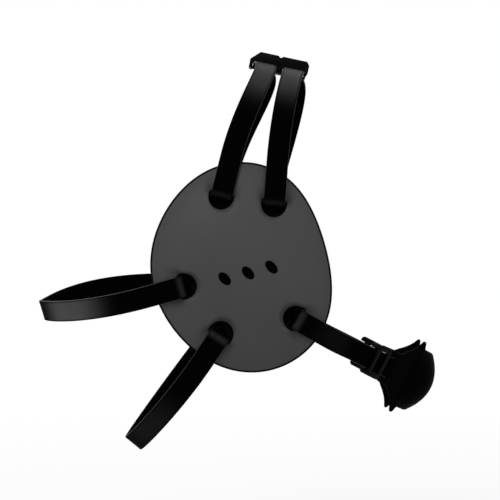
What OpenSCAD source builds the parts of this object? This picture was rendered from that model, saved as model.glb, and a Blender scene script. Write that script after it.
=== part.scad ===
// Wrestling headgear: two padded ear cups, joined by webbing straps, a crown adjuster and a chin cup.
// Millimetres. X points forward, Y to the wearer's left and Z up. The origin lies between the ears.
// A cup is worked out in its own frame first: u forward, v up and w outwards from the ear cushion's face.

/* [Head] */
// Distance between the faces of the two ear cushions
head_w = 150; // [140:1:165]

/* [Cup outline] */
// The egg-shaped rim blends three round lobes. Forward place of the upper lobe's centre
upper_lobe_u = -3.5; // [-6:0.5:-1]
// Height of the upper lobe's centre over the ear
upper_lobe_v = 20; // [17:0.5:22]
// Radius of the upper lobe
upper_lobe_r = 46.5; // [45:0.5:48]
// Forward place of the lower lobe's centre
lower_lobe_u = 1.5; // [0:0.5:3]
// Height of the lower lobe's centre over the ear
lower_lobe_v = -9.5; // [-12:0.5:-8]
// Radius of the lower lobe
lower_lobe_r = 50; // [48:0.5:52]
// Forward place of the rear lobe's centre
rear_lobe_u = -9; // [-11:0.5:-7]
// Height of the rear lobe's centre over the ear
rear_lobe_v = 4.5; // [2:0.5:7]
// Radius of the rear lobe
rear_lobe_r = 50.5; // [49:0.5:52]
// How softly the lobes run into each other
lobe_blend = 6; // [3:0.5:8]

/* [Shell] */
// Rise of the domed shell over its rim
dome_h = 16; // [14:0.5:19]
// Wall of the shell
shell_wall = 2.6; // [2:0.1:3]
// How flat the dome stays towards its middle
dome_fullness = 2.2; // [1.9:0.1:2.6]
// How round the dome's shoulder is
dome_shoulder = 0.75; // [0.65:0.05:0.85]

/* [Sound holes] */
// Length of an oval sound hole
sound_hole_l = 9; // [7:0.5:10]
// Width of an oval sound hole
sound_hole_w = 5.5; // [4:0.5:6]
// Distance from one sound hole to the next
sound_hole_pitch = 14.2; // [12:0.2:16]
// Rise of the row of sound holes towards the face, in degrees
sound_row_rise = 14; // [0:1:20]
// Slant of each oval, in degrees
sound_hole_slant = -47; // [-60:1:-30]

/* [Webbing] */
// Width of the webbing
strap_w = 13; // [11:0.5:14]
// Thickness of the webbing
strap_t = 1.6; // [1.2:0.1:2]
// Air between the webbing and what it passes
strap_gap = 0.3; // [0.2:0.05:0.5]

/* [Strap slots] */
// Distance of each slot's round end centre from the rim
slot_inset = 17; // [16:0.5:19]
// Room that a slot leaves on each side of the webbing
slot_room = 1; // [0.8:0.1:1.5]
// Length of the opening from its round end centre towards the rim
slot_l = 4.5; // [3.5:0.5:7]
// Wall that is left under the ramp outside each opening
ramp_wall = 1.2; // [1:0.1:1.6]
// How far a rear loop can swing each way in its slots, in degrees
loop_swing = 8; // [4:1:10]
// How far the chin cup and its straps can swing each way, in degrees
chin_swing = 10; // [6:1:12]
// Radius of the bar in each strap end
bar_r = 1.2; // [1:0.1:1.4]
// Room between a bar and the strap's eye
bar_room = 0.3; // [0.2:0.05:0.4]
// How far a bar reaches past its slot on each side
bar_reach = 2; // [1.5:0.25:2.5]

/* [Ear cushion] */
// Thickness of the soft cushion against the head
soft_t = 11; // [9:0.5:14]
// Thickness of the firm foam between cushion and shell
firm_t = 5; // [3:0.5:7]
// How far the firm foam shows round the shell's rim
foam_edge = 1.2; // [0.6:0.2:2]
// How far the soft cushion draws in from the firm foam's edge
soft_inset = 1.5; // [0.5:0.25:3]
// Height of the ear opening
ear_h = 60; // [56:1:62]
// Width of the ear opening
ear_w = 44; // [40:1:46]
// Depth that is flattened on the cushion's crown where it meets the skin
skin_flat = 0.5; // [0.3:0.1:0.8]

/* [Crown] */
// Forward place of the crown adjuster's middle
crown_x = 20.7; // [12:0.1:30]
// Height of the crown straps over the ears
crown_z = 127.4; // [120:0.2:145]
// Forward tilt of the crown straps, in degrees
crown_tilt = 12; // [0:1:20]
// Distance between the two top straps at the crown
crown_pitch = 19; // [18:0.5:22]
// Length of the crown adjuster along the straps
adjuster_l = 15; // [12:0.5:18]
// Travel of the crown adjuster to each side
adjuster_travel = 10; // [0:1:12]

/* [Rear loops] */
// Distance from the ears back to the upper loop's end
upper_back = 127.5; // [110:0.5:140]
// Drop of the upper loop's end under the ears
upper_drop = 24; // [10:1:35]
// Distance from the ears back to the lower loop's end
lower_back = 70.5; // [60:0.5:85]
// Drop of the lower loop's end under the ears
lower_drop = 107.5; // [95:0.5:115]

/* [Chin cup] */
// Slope of the chin straps and the chin cup under the horizontal, in degrees
chin_slope = 27; // [22:1:32]
// Distance from the ears to the chin cup's rim, along that slope
chin_front = 129; // [122:1:140]
// Distance of the chin cup's middle under the line through the ears
chin_under = 12.4; // [8:0.2:15]
// Depth of the bowl past the rim
bowl_depth = 8.8; // [6:0.2:12]
// Half height of the bowl
bowl_half = 20; // [17:0.5:22]
// Half height of the four pointed ears beside the bowl
ear_point = 24.5; // [23:0.5:27]
// Half height of a wing where the strap holds it
wing_half = 10.5; // [10:0.5:12]
// Distance between the ends of the two wings
wing_span = 86; // [80:1:92]
// Distance from the rim back to the wing ends, along the slope
wing_back = 27; // [25:0.2:32]
// Angle of a wing to the middle plane, in degrees
wing_angle = 48; // [42:1:52]
// Wall of the chin cup
chin_wall = 2.5; // [2:0.1:3]
// Thickness of the foam liner in the bowl
liner_t = 4; // [3:0.5:6]

/* [Chin sliders] */
// Length of a slider along the strap
slider_l = 13; // [10:0.5:14]
// Width of a slider across the strap
slider_w = 20.5; // [20:0.5:25]
// Room beside a strap in the windows of the adjuster, the sliders and the chin cup
window_room = 0.4; // [0.3:0.1:1.5]
// Travel of a slider towards the ear cup
slider_travel = 12; // [0:1:14]
// Length of strap end that shows past the slider at the end of its travel
tail_l = 4; // [2:0.5:8]
// Thickness of a slider's bars
slider_bar = 1.5; // [1.2:0.1:2]

/* [Hidden] */

RIGHT = -1;
LEFT = 1;
TOP_REAR = 0;
TOP_FRONT = 1;
UPPER = 2;
LOWER = 3;
CHIN = 4;

SHELL_GREY = [0.27, 0.27, 0.28];
WEB_BLACK = [0.03, 0.03, 0.03];
FOAM_BLACK = [0.06, 0.06, 0.065];
MOULDED_BLACK = [0.05, 0.05, 0.05];
round_fn = 48;
// How far a cutter reaches past what it cuts
cut_over = 1;

// Directions from the cup's middle to the slots, and of the straps that leave them, in degrees
slot_place = [107, 63.8, 197.5, 251.5, 316.2];
slot_lean = [77, 83, 188, 235, 330];
// How far the slots open for straps that rest askew, and with the swing on top
slot_slack = [5, 9, 8, 3, 2];
slot_fan = slot_slack + [0, 0, loop_swing, loop_swing, chin_swing];
cup_middle = [-3, 3];
rim_w = soft_t + firm_t;
rim_steps = 60;
lobes = [[upper_lobe_u, upper_lobe_v, upper_lobe_r], [lower_lobe_u, lower_lobe_v, lower_lobe_r],
    [rear_lobe_u, rear_lobe_v, rear_lobe_r]];
slot_r = strap_w / 2 + slot_room;
bar_l = 2 * (slot_r + bar_reach);
eye_in_r = bar_r + bar_room;
eye_out_r = eye_in_r + strap_t;
eye_mid_r = eye_in_r + strap_t / 2;

// Vectors
function unit(v) = v / norm(v);
function heading(a) = [cos(a), sin(a)];
function mix(p, q, t) = p * (1 - t) + q * t;
function backwards(list) = [for (i = [len(list) - 1:-1:0]) list[i]];
function bezier(p, t) = pow(1 - t, 3) * p[0] + 3 * pow(1 - t, 2) * t * p[1]
    + 3 * (1 - t) * t * t * p[2] + t * t * t * p[3];

// Cup outline: each rim point blends the lobes' own rim points by how far each lobe reaches that way
function lobe_reach(lobe, a) = lobe[0] * cos(a) + lobe[1] * sin(a) + lobe[2];
function lobe_share(lobe, a) = exp((lobe_reach(lobe, a) - lower_lobe_r) / lobe_blend);
function rim_point(a) =
    let (shares = [for (lobe = lobes) lobe_share(lobe, a)],
         spots = [for (lobe = lobes) [lobe[0], lobe[1]] + lobe[2] * heading(a)])
    shares * spots / (shares * [1, 1, 1]);
rim = [for (i = [0:rim_steps - 1]) rim_point(360 * i / rim_steps)];

// The rim moved outwards by d, and scaled about the cup's middle by s
function rim_ring(d, s = 1) = [for (p = rim)
    let (v = p - cup_middle) cup_middle + v * s * (1 + d / norm(v))];

// How far out a point of the cup lies, as a share of the way from its middle to the rim
function rim_share(q) = max([for (i = [0:rim_steps - 1])
    let (p = rim[i] - cup_middle, e = rim[(i + 1) % rim_steps] - rim[i], n = [e[1], -e[0]])
    ((q - cup_middle) * n) / (p * n)]);
function rim_reach(q) = norm(q - cup_middle) / rim_share(q);
function dome(share, rise) = share >= 1 ? 0
    : rise * pow(1 - pow(share, dome_fullness), dome_shoulder);
function shell_top(q) = rim_w + dome(rim_share(q), dome_h);
function shell_under(q) = rim_w
    + dome(norm(q - cup_middle) / (rim_reach(q) - shell_wall), dome_h - shell_wall);

// Slots: the centre of the round end, the height of the bar under the shell, and the level of the strap
function slot_pivot(k) = let (d = heading(slot_place[k]))
    cup_middle + d * (rim_reach(cup_middle + d) - slot_inset);
function turned_spots(k, along, across) = [for (turn = [-1, 0, 1], side = [-1, 0, 1])
    let (a = slot_lean[k] + turn * slot_fan[k])
    slot_pivot(k) + along * heading(a) + side * across * heading(a + 90)];
function bar_w(k) = min([for (q = turned_spots(k, bar_r, bar_l / 2)) shell_under(q)])
    - strap_gap - bar_r;
function strap_level(k) = bar_w(k) + eye_mid_r;
function ramp_w(k) = max(strap_level(k) - strap_t / 2 - strap_gap,
    ramp_wall + max([for (q = turned_spots(k, slot_l, slot_r)) shell_under(q)]));

// Closed solid through a list of rings of points, each ring anticlockwise about the way it travels
module lofted(rings, looped = false) {
    n = len(rings);
    m = len(rings[0]);
    quads = [for (i = [0:n - (looped ? 1 : 2)], j = [0:m - 1])
        let (k = (i + 1) % n, l = (j + 1) % m) [i * m + j, k * m + j, k * m + l, i * m + l]];
    sides = [for (q = quads, half = [0, 1]) half ? [q[0], q[1], q[2]] : [q[0], q[2], q[3]]];
    strips = [for (j = [0:m / 2 - 2]) [j, j + 1, m - 2 - j, m - 1 - j]];
    caps = looped ? [] : concat(strips, [for (q = strips) (n - 1) * [m, m, m, m] + backwards(q)]);
    polyhedron([for (ring = rings, p = ring) p], concat(sides, caps), convexity = 10);
}

// Frames
module on_right_cup() translate([0, -head_w / 2, 0]) rotate([90, 0, 0]) children();
module on_cup(side) {
    if (side == LEFT) mirror([0, 1, 0]) on_right_cup() children();
    else on_right_cup() children();
}
module at_slot(k) translate(slot_pivot(k)) rotate(slot_lean[k]) children();
function cup_spot(side, q, w) = [q[0], side * (head_w / 2 + w), q[1]];
function lift(ring, w) = [for (p = ring) [p[0], p[1], w]];

// Shell
dome_steps = 11;
under_steps = 6;
pole_share = 0.06;
function ring_share(i, n) = pole_share + (1 - pole_share) * sin(90 * i / n);
module shell_blank() lofted(concat(
    [for (i = [0:under_steps]) let (s = ring_share(i, under_steps))
        lift(rim_ring(-shell_wall, s), rim_w + dome(s, dome_h - shell_wall))],
    [for (i = [dome_steps:-1:0]) let (s = ring_share(i, dome_steps))
        lift(rim_ring(0, s), rim_w + dome(s, dome_h))]));

// Plan of a slot: round at its inner end, opening like a fan so that the strap can swing
module slot_plan(k, reach) intersection() {
    union() {
        circle(r = slot_r, $fn = round_fn);
        slot_mouth(slot_fan[k], reach + slot_inset);
    }
    translate([-slot_inset, -2 * slot_inset]) square([slot_inset + reach, 4 * slot_inset]);
}
module slot_mouth(fan, length) polygon([slot_r * heading(-90 - fan),
    slot_r * heading(-90 - fan) + length * heading(-fan), slot_r * heading(90 + fan) + length * heading(fan),
    slot_r * heading(90 + fan)]);
module slot_cut(k) {
    translate([0, 0, rim_w - cut_over]) linear_extrude(dome_h + 2 * cut_over) slot_plan(k, slot_l);
    translate([0, 0, ramp_w(k)]) linear_extrude(dome_h) slot_plan(k, slot_inset + slot_r);
}
module sound_holes() for (i = [-1:1]) translate(i * sound_hole_pitch * heading(sound_row_rise))
    rotate(sound_hole_slant) translate([0, 0, rim_w]) linear_extrude(dome_h + cut_over)
        scale([sound_hole_l / sound_hole_w, 1]) circle(d = sound_hole_w, $fn = round_fn);
module shell(side) color(SHELL_GREY) on_cup(side) difference() {
    shell_blank();
    for (k = [TOP_REAR:CHIN]) at_slot(k) slot_cut(k);
    sound_holes();
}

// Firm foam and soft cushion, both with the ear opening. The foam is relieved under a low strap eye
module ear_opening() scale([ear_w / ear_h, 1]) circle(d = ear_h, $fn = 72);
module firm_foam(side) color(FOAM_BLACK) on_cup(side) difference() {
    translate([0, 0, soft_t]) linear_extrude(firm_t) difference() {
        polygon(rim_ring(foam_edge));
        ear_opening();
    }
    for (k = [TOP_REAR:CHIN]) translate(slot_pivot(k)) translate([0, 0, bar_w(k) - eye_out_r - strap_gap])
        cylinder(r = bar_l / 2 + strap_gap, h = eye_out_r, $fn = round_fn);
}

// The cushion's section is a squared oval that travels round the ear, cut flat at the foam and the skin
cushion_steps = 48;
section_steps = 14;
squareness = 0.6;
bond_share = 0.93;
function signed_pow(x, p) = sign(x) * pow(abs(x), p);
function ear_edge(a) = [ear_w / 2 * cos(a), ear_h / 2 * sin(a)];
function cushion_ring(turn) = [for (i = [0:cushion_steps - 1])
    let (a = 360 * i / cushion_steps, across = 0.5 + 0.5 * signed_pow(cos(turn), squareness),
         high = 0.5 * (soft_t + skin_flat) * signed_pow(sin(turn), squareness),
         outer = rim_point(a), v = outer - cup_middle,
         rim_spot = cup_middle + v * (1 + (foam_edge - soft_inset) / norm(v)),
         flat = mix(ear_edge(a), rim_spot, across))
    [flat[0], flat[1], min(soft_t, soft_t * 0.5 - skin_flat / 2 + high / bond_share)]];
module ear_cushion(side) color(FOAM_BLACK) on_cup(side) difference() {
    lofted([for (i = [0:section_steps - 1]) cushion_ring(360 * (i + 0.5) / section_steps)], looped = true);
    translate([-head_w / 2, -head_w / 2, -soft_t]) cube([head_w, head_w, soft_t]);
}

// Straps: a route is a list of [place, width direction], and a strap is a flat band along it
function ring_at(route, i) =
    let (p = route[i][0], ahead = route[min(i + 1, len(route) - 1)][0], behind = route[max(i - 1, 0)][0],
         t = unit(ahead - behind), n = unit(cross(t, route[i][1])), across = cross(n, t))
    [for (c = [[1, 1], [-1, 1], [-1, -1], [1, -1]])
        p + c[0] * across * strap_w / 2 + c[1] * n * strap_t / 2];
module band(route) lofted([for (i = [0:len(route) - 1]) ring_at(route, i)]);

// Height of the strap over the cup: from its eye up over the ramp, then taut past the foam's edge
cup_step = 2.5;
eye_start = 0.6;
// The strap is up at the ramp before any corner of it gets there, also at the end of its swing
ramp_start = slot_l - strap_w / 2 * sin(max(slot_fan)) - strap_gap;
eye_trim = 0.2;
function over_edge(q) = norm(q - cup_middle) - rim_reach(q);
function free_of_cup(q) = over_edge(q) > foam_edge + strap_gap;
function clear_w(k, a) = strap_gap + strap_t / 2
    + max([for (q = turned_spots(k, a, strap_w / 2)) min(shell_top(q), ramp_w(k))]);
// Angle at which the strap rises from its eye to the ramp, and its place there
function eye_rise(k) = let (a = ramp_start, h = clear_w(k, a) - bar_w(k))
    atan2(h, a) - asin(eye_mid_r / norm([a, h]));
function eye_place(k) = let (rise = eye_rise(k))
    [(eye_start - eye_mid_r) * sin(rise), bar_w(k) + eye_mid_r * cos(rise) + eye_start * sin(rise)];
function cup_clear(k, a) = min([for (q = turned_spots(k, a, strap_w / 2)) free_of_cup(q) ? 1 : 0]) == 1;
function cup_count(k, i = 4) = cup_clear(k, ramp_start + i * cup_step) ? i : cup_count(k, i + 1);
function taut(list, i) = max([for (j = [0:i], k = [i:len(list) - 1])
    j == k ? list[i] : mix(list[j], list[k], (i - j) / (k - j))]);
function over_cup(side, k, veer) =
    let (a = slot_lean[k] + veer, n = cup_count(k), eye = eye_place(k), width = [-sin(a), 0, cos(a)],
         slack = [for (i = [0:n]) clear_w(k, ramp_start + i * cup_step)],
         high = [for (i = [0:n]) taut(slack, i)])
    concat([[cup_spot(side, slot_pivot(k) + eye[0] * heading(a), eye[1]), width]],
        [for (i = [0:n]) if (i == 0 || i >= n - 1 || abs(high[i + 1] + high[i - 1] - 2 * high[i]) > 0.02)
            [cup_spot(side, slot_pivot(k) + (ramp_start + i * cup_step) * heading(a), high[i]), width]]);

// Free stretch from the cup to a given place, heading and width direction
free_steps = 12;
function free_stretch(start, goal, way, width, reach, sway = 0) =
    let (n = len(start), p = start[n - 1][0], t = unit(p - start[n - 2][0]),
         bend = [p, p + reach[0] * t, goal - reach[1] * way + sway * width, goal])
    [for (i = [1:free_steps]) let (s = i / free_steps)
        [bezier(bend, s), mix(start[n - 1][1], width, s)]];
function half_strap(side, k, veer, goal, width, reach, sway = 0) =
    let (start = over_cup(side, k, veer))
    concat(start, free_stretch(start, goal, [0, -side, 0], width, reach, sway));

// Eye at a strap's end, round the bar
module strap_eye(side, k, veer) on_cup(side) translate(slot_pivot(k)) rotate(slot_lean[k] + veer)
    translate([0, strap_w / 2 - eye_trim, bar_w(k)]) rotate([90, 0, 0])
        cylinder(r = eye_out_r, h = strap_w - 2 * eye_trim, $fn = round_fn);
module eye_bore(side, k, veer) on_cup(side) translate(slot_pivot(k)) rotate(slot_lean[k] + veer)
    translate([0, strap_w / 2 + cut_over, bar_w(k)]) rotate([90, 0, 0])
        cylinder(r = eye_in_r, h = strap_w + 2 * cut_over, $fn = round_fn);
module strap_bar(side, k, veer) on_cup(side) translate(slot_pivot(k)) rotate(slot_lean[k] + veer)
    translate([0, bar_l / 2, bar_w(k)]) rotate([90, 0, 0]) cylinder(r = bar_r, h = bar_l, $fn = round_fn);

// A strap from cup to cup: each half has its own veer out of the slot
module cup_to_cup(k, veers, near, far) color(WEB_BLACK) difference() {
    union() {
        band(concat(near, backwards(far)));
        strap_eye(RIGHT, k, veers[0]);
        strap_eye(LEFT, k, veers[1]);
    }
    eye_bore(RIGHT, k, veers[0]);
    eye_bore(LEFT, k, veers[1]);
}

// Top straps, straight at the crown for the adjuster's travel and a spare length
crown_spare = 7;
crown_flat = adjuster_l + 2 * adjuster_travel + crown_spare;
top_rear_veers = [-1, -1];
top_front_veers = [2, -8];
top_sways = [[-6, -9], [2, -9]];
top_reach = [40, 52];
function crown_spot(side, place) = [crown_x + place * crown_pitch / 2 * cos(crown_tilt),
    side * crown_flat / 2, crown_z - place * crown_pitch / 2 * sin(crown_tilt)];
crown_width = [-cos(crown_tilt), 0, sin(crown_tilt)];
function half_no(side) = side == RIGHT ? 0 : 1;
function top_half(side, k, veers, place) = half_strap(side, k, veers[half_no(side)],
    crown_spot(side, place), crown_width, top_reach, top_sways[k][half_no(side)]);
module top_strap(k, veers, place)
    cup_to_cup(k, veers, top_half(RIGHT, k, veers, place), top_half(LEFT, k, veers, place));
module top_strap_bars() color(MOULDED_BLACK) for (side = [RIGHT, LEFT], i = [0, 1])
    strap_bar(side, [TOP_REAR, TOP_FRONT][i], [top_rear_veers, top_front_veers][i][half_no(side)]);

// Rear loops
upper_veers = [8, -7];
lower_veers = [2, -3];
upper_end_lean = 197;
lower_end_lean = 230.5;
upper_reach = [[53, 36], [60, 40]];
lower_reach = [[40, 40], [36, 40]];
function rear_half(side, k, veers, goal, end_lean, reach) = half_strap(side, k, veers[half_no(side)],
    goal, [-sin(end_lean), 0, cos(end_lean)], reach[half_no(side)]);
function but_last(list) = [for (i = [0:len(list) - 2]) list[i]];
module rear_loop(k, veers, goal, end_lean, reach) cup_to_cup(k, veers,
    rear_half(RIGHT, k, veers, goal, end_lean, reach),
    but_last(rear_half(LEFT, k, veers, goal, end_lean, reach)));
module loop_bars(k, veers) color(MOULDED_BLACK) {
    strap_bar(RIGHT, k, veers[0]);
    strap_bar(LEFT, k, veers[1]);
}

// Crown adjuster: two windows side by side, the outer bars over the straps and the middle bar under them
window_w = strap_w + 2 * window_room;
adjuster_rail = 2.2;
adjuster_bar = 3;
window_half = strap_t / 2 + strap_gap;
// The outer bars stand up over the straps as grip ribs
adjuster_over = 7.2;
adjuster_under = 1.6;
adjuster_w = crown_pitch + window_w + 2 * adjuster_rail;
adjuster_top = window_half + adjuster_over;
adjuster_foot = -window_half - adjuster_under;
rear_chamfer = 5.6;
rear_slope_h = 5.4;
front_chamfer = 1.8;
front_slope_h = 2.3;
foot_chamfer = 1;
notch_depth = 1;
notch_w = 1;
module adjuster_outline() polygon([
    [foot_chamfer - adjuster_w / 2, adjuster_foot], [adjuster_w / 2 - foot_chamfer, adjuster_foot],
    [adjuster_w / 2 - foot_chamfer, -window_half], [adjuster_w / 2, window_half],
    [adjuster_w / 2, adjuster_top - front_slope_h], [adjuster_w / 2 - front_chamfer, adjuster_top],
    [notch_w / 2 + notch_depth, adjuster_top], [notch_w / 2, adjuster_top - notch_depth],
    [-notch_w / 2, adjuster_top - notch_depth],
    [-notch_w / 2 - notch_depth, adjuster_top], [rear_chamfer - adjuster_w / 2, adjuster_top],
    [-adjuster_w / 2, adjuster_top - rear_slope_h], [-adjuster_w / 2, adjuster_foot + foot_chamfer]]);
module crown_adjuster() color(MOULDED_BLACK) translate([crown_x, 0, crown_z]) rotate([0, crown_tilt, 0])
    difference() {
        rotate([90, 0, 0]) translate([0, 0, -adjuster_l / 2]) linear_extrude(adjuster_l) adjuster_outline();
        for (place = [-1, 1]) translate([place * crown_pitch / 2, 0, 0]) {
            cube([window_w, adjuster_l + 2 * cut_over, 2 * window_half], center = true);
            translate([-window_w / 2, -adjuster_l / 2 + adjuster_bar, 0])
                cube([window_w, adjuster_l - 2 * adjuster_bar, adjuster_top + cut_over]);
            for (end = [-1, 1]) translate([0, end * (adjuster_l + adjuster_bar) / 2, -window_half])
                cube([window_w, adjuster_l, 2 * (adjuster_under + cut_over)], center = true);
        }
    }

// Chin cup, in a frame that slopes with the chin straps: e forward along the slope, h square to it
module on_chin() rotate([0, chin_slope, 0]) translate([0, 0, -chin_under]) children();
function chin_spot(q) = [q[0] * cos(chin_slope) + (q[2] - chin_under) * sin(chin_slope), q[1],
    -q[0] * sin(chin_slope) + (q[2] - chin_under) * cos(chin_slope)];
chin_up = [sin(chin_slope), 0, cos(chin_slope)];
wing_straight = 13;
fine_steps = 40;
wing_end = [chin_front - wing_back, -wing_span / 2];
wing_way = heading(wing_angle);
wing_root = wing_end + wing_straight * wing_way;
wing_curve = [[chin_front, 0], [chin_front, -14], wing_root + 8 * wing_way, wing_root];
fine_plan = concat([for (i = [0:fine_steps]) bezier(wing_curve, i / fine_steps)], [wing_end]);
function run_to(i) = i == 0 ? 0 : norm(fine_plan[i] - fine_plan[i - 1]) + run_to(i - 1);
fine_runs = [for (i = [0:fine_steps + 1]) run_to(i)];
function wing_spot(d) = [for (c = [0, 1])
    lookup(d, [for (i = [0:fine_steps + 1]) [fine_runs[i], fine_plan[i][c]]])];

// Distances from the front at which the half height is set: bowl, pointed ear, then the taper of the wing
ear_at = 23.5;
wing_root_at = fine_runs[fine_steps];
wing_end_at = fine_runs[fine_steps + 1];
heights = [[0, bowl_half], [4, bowl_half], [8, bowl_half], [12, bowl_half], [16, bowl_half], [19, bowl_half],
    [ear_at - 2, bowl_half + 0.5], [ear_at, ear_point], [ear_at + 2, ear_point - 2.5],
    [ear_at + 5, ear_point - 5.7], [ear_at + 9, ear_point - 8.8], [ear_at + 13, wing_half + 2.6],
    [wing_root_at, wing_half + 0.6], [wing_end_at, wing_half]];
right_runs = backwards(heights);
chin_stations = concat([for (h = right_runs) [h[0], h[1], RIGHT]], [for (i = [1:len(heights) - 1])
    [heights[i][0], heights[i][1], LEFT]]);
chin_plan = [for (h = chin_stations) let (q = wing_spot(h[0])) [q[0], -h[2] * q[1]]];
function plan_way(i) = unit(chin_plan[min(i + 1, len(chin_plan) - 1)] - chin_plan[max(i - 1, 0)]);
function bulge(d) = bowl_depth * pow(cos(90 * min(1, d / (ear_at + 6))), 1.5);
section_n = 8;
function chin_point(i, s, depth) =
    let (t = plan_way(i), out = [t[1], -t[0]],
         q = chin_plan[i] + out * (bulge(chin_stations[i][0]) * (1 - s * s) - depth))
    [q[0], q[1], s * chin_stations[i][1]];
function chin_section(i, inner) = concat(
    [for (j = [0:section_n]) chin_point(i, 1 - 2 * j / section_n, 0)],
    [for (j = [0:section_n]) chin_point(i, -1 + 2 * j / section_n, inner)]);
wing_slot_at = 3;
wing_slot_l = 4.2;
loop_r = chin_wall / 2 + strap_gap + strap_t / 2;
module at_wing(side) translate([wing_end[0], side * wing_span / 2, 0]) rotate(-side * wing_angle) children();
module chin_cup() color(MOULDED_BLACK) on_chin() difference() {
    lofted([for (i = [0:len(chin_plan) - 1]) chin_section(i, chin_wall)]);
    for (side = [RIGHT, LEFT]) at_wing(side)
        translate([wing_slot_at, -slider_l, -window_w / 2]) cube([wing_slot_l, 2 * slider_l, window_w]);
}

// Foam liner behind the bowl, clear of the wall
liner_reach = ear_at - 3;
liner_share = 0.86;
function liner_point(i, s, depth) = chin_point(i, s * liner_share, depth);
liner_is = [for (i = [0:len(chin_plan) - 1]) if (chin_stations[i][0] < liner_reach) i];
module chin_liner() color(FOAM_BLACK) on_chin() lofted([for (i = liner_is) concat(
    [for (j = [0:section_n]) liner_point(i, 1 - 2 * j / section_n, chin_wall + strap_gap)],
    [for (j = [0:section_n]) let (s = -1 + 2 * j / section_n)
        liner_point(i, s, chin_wall + strap_gap + liner_t * (1 - 0.7 * pow(abs(s), 3)))])]);

// Chin strap: over the cup, straight through the slider, round the wing's end bar and back
slider_at = 2.4;
straight_l = slider_at + slider_l + slider_travel + tail_l;
stack_off = strap_t / 2 + 0.1;
loop_at = wing_slot_at + 0.2;
turn_steps = 6;
// Place beside the wing's middle plane: s back from the wing's end, off outwards
function wing_side(side, s, off) =
    let (way = [cos(wing_angle), -side * sin(wing_angle)], out = [sin(wing_angle), side * cos(wing_angle)],
         q = [wing_end[0], side * wing_span / 2] - s * way + (off - chin_wall / 2) * out)
    [chin_spot([q[0], q[1], 0]), chin_up];
function wing_loop(side) = concat(
    [wing_side(side, straight_l, stack_off), wing_side(side, slider_at - 0.3, stack_off),
     wing_side(side, 0.3, loop_r - 0.2), wing_side(side, -loop_at / 2, loop_r)],
    [for (i = [0:turn_steps]) let (a = 180 * i / turn_steps)
        wing_side(side, -loop_at - loop_r * sin(a), loop_r * cos(a))],
    [wing_side(side, -loop_at / 2, -loop_r), wing_side(side, 0.3, 0.2 - loop_r),
     wing_side(side, slider_at - 0.3, -stack_off), wing_side(side, straight_l, -stack_off)]);
chin_veers = [0, 0];
chin_reach = [14, 12];
function chin_route(side) =
    let (start = over_cup(side, CHIN, chin_veers[half_no(side)]), loop = wing_loop(side),
         way = unit(loop[1][0] - loop[0][0]))
    concat(start, free_stretch(start, loop[0][0], way, chin_up, chin_reach),
        [for (i = [1:len(loop) - 1]) loop[i]]);
module chin_strap(side) color(WEB_BLACK) difference() {
    union() {
        band(chin_route(side));
        strap_eye(side, CHIN, chin_veers[half_no(side)]);
    }
    eye_bore(side, CHIN, chin_veers[half_no(side)]);
}

// Chin slider: a sleeve with two bars outside the strap and one bar inside it
slider_window = stack_off + strap_t / 2 + strap_gap;
slider_out_bar = 3;
slider_in_bar = slider_l - 2 * slider_out_bar - 2;
slider_half = slider_window + slider_bar;
slider_corner = 2.5;
module slider_plan() {
    for (z = [-1, 1], x = [-1, 1]) translate([x * (slider_l / 2 - slider_corner),
        z * (slider_w / 2 - slider_corner)]) circle(r = slider_corner, $fn = round_fn);
    square([slider_l, slider_w - 2 * slider_corner], center = true);
    square([slider_l - 2 * slider_corner, slider_w], center = true);
}
module chin_slider(side) color(MOULDED_BLACK) on_chin() at_wing(side)
    translate([-slider_at - slider_l / 2, -side * chin_wall / 2, 0]) rotate([90, 0, 0]) difference() {
        translate([0, 0, -slider_half]) linear_extrude(2 * slider_half) slider_plan();
        cube([slider_l + 2 * cut_over, window_w, 2 * slider_window], center = true);
        translate([-slider_l / 2 + slider_out_bar, -window_w / 2, side == RIGHT ? 0 : -slider_half - 1])
            cube([slider_l - 2 * slider_out_bar, window_w, slider_half + 1]);
        for (end = [-1, 1]) translate([end * (slider_l + slider_in_bar) / 2, 0,
            side == RIGHT ? -slider_half : slider_half])
            cube([slider_l, window_w, 2 * slider_half], center = true);
    }

shell(RIGHT);  // right_shell
shell(LEFT);  // left_shell
firm_foam(RIGHT);  // right_firm_foam
firm_foam(LEFT);  // left_firm_foam
ear_cushion(RIGHT);  // right_ear_cushion
ear_cushion(LEFT);  // left_ear_cushion
top_strap(TOP_REAR, top_rear_veers, -1);  // rear_top_strap
top_strap(TOP_FRONT, top_front_veers, 1);  // front_top_strap
crown_adjuster();
top_strap_bars();
rear_loop(UPPER, upper_veers, [-upper_back, 0, -upper_drop], upper_end_lean, upper_reach);  // upper_rear_strap
loop_bars(UPPER, upper_veers);  // upper_rear_bars
rear_loop(LOWER, lower_veers, [-lower_back, 0, -lower_drop], lower_end_lean, lower_reach);  // lower_rear_strap
loop_bars(LOWER, lower_veers);  // lower_rear_bars
chin_strap(RIGHT);  // right_chin_strap
chin_strap(LEFT);  // left_chin_strap
loop_bars(CHIN, chin_veers);  // chin_strap_bars
chin_cup();
chin_liner();
chin_slider(RIGHT);  // right_chin_slider
chin_slider(LEFT);  // left_chin_slider
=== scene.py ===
"""Looks of a wrestling headgear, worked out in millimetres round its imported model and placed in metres."""
import logging
import math
from dataclasses import dataclass
from enum import Enum

import bmesh
import bpy
import numpy as np
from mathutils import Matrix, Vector
from mathutils.geometry import delaunay_2d_cdt


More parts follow.
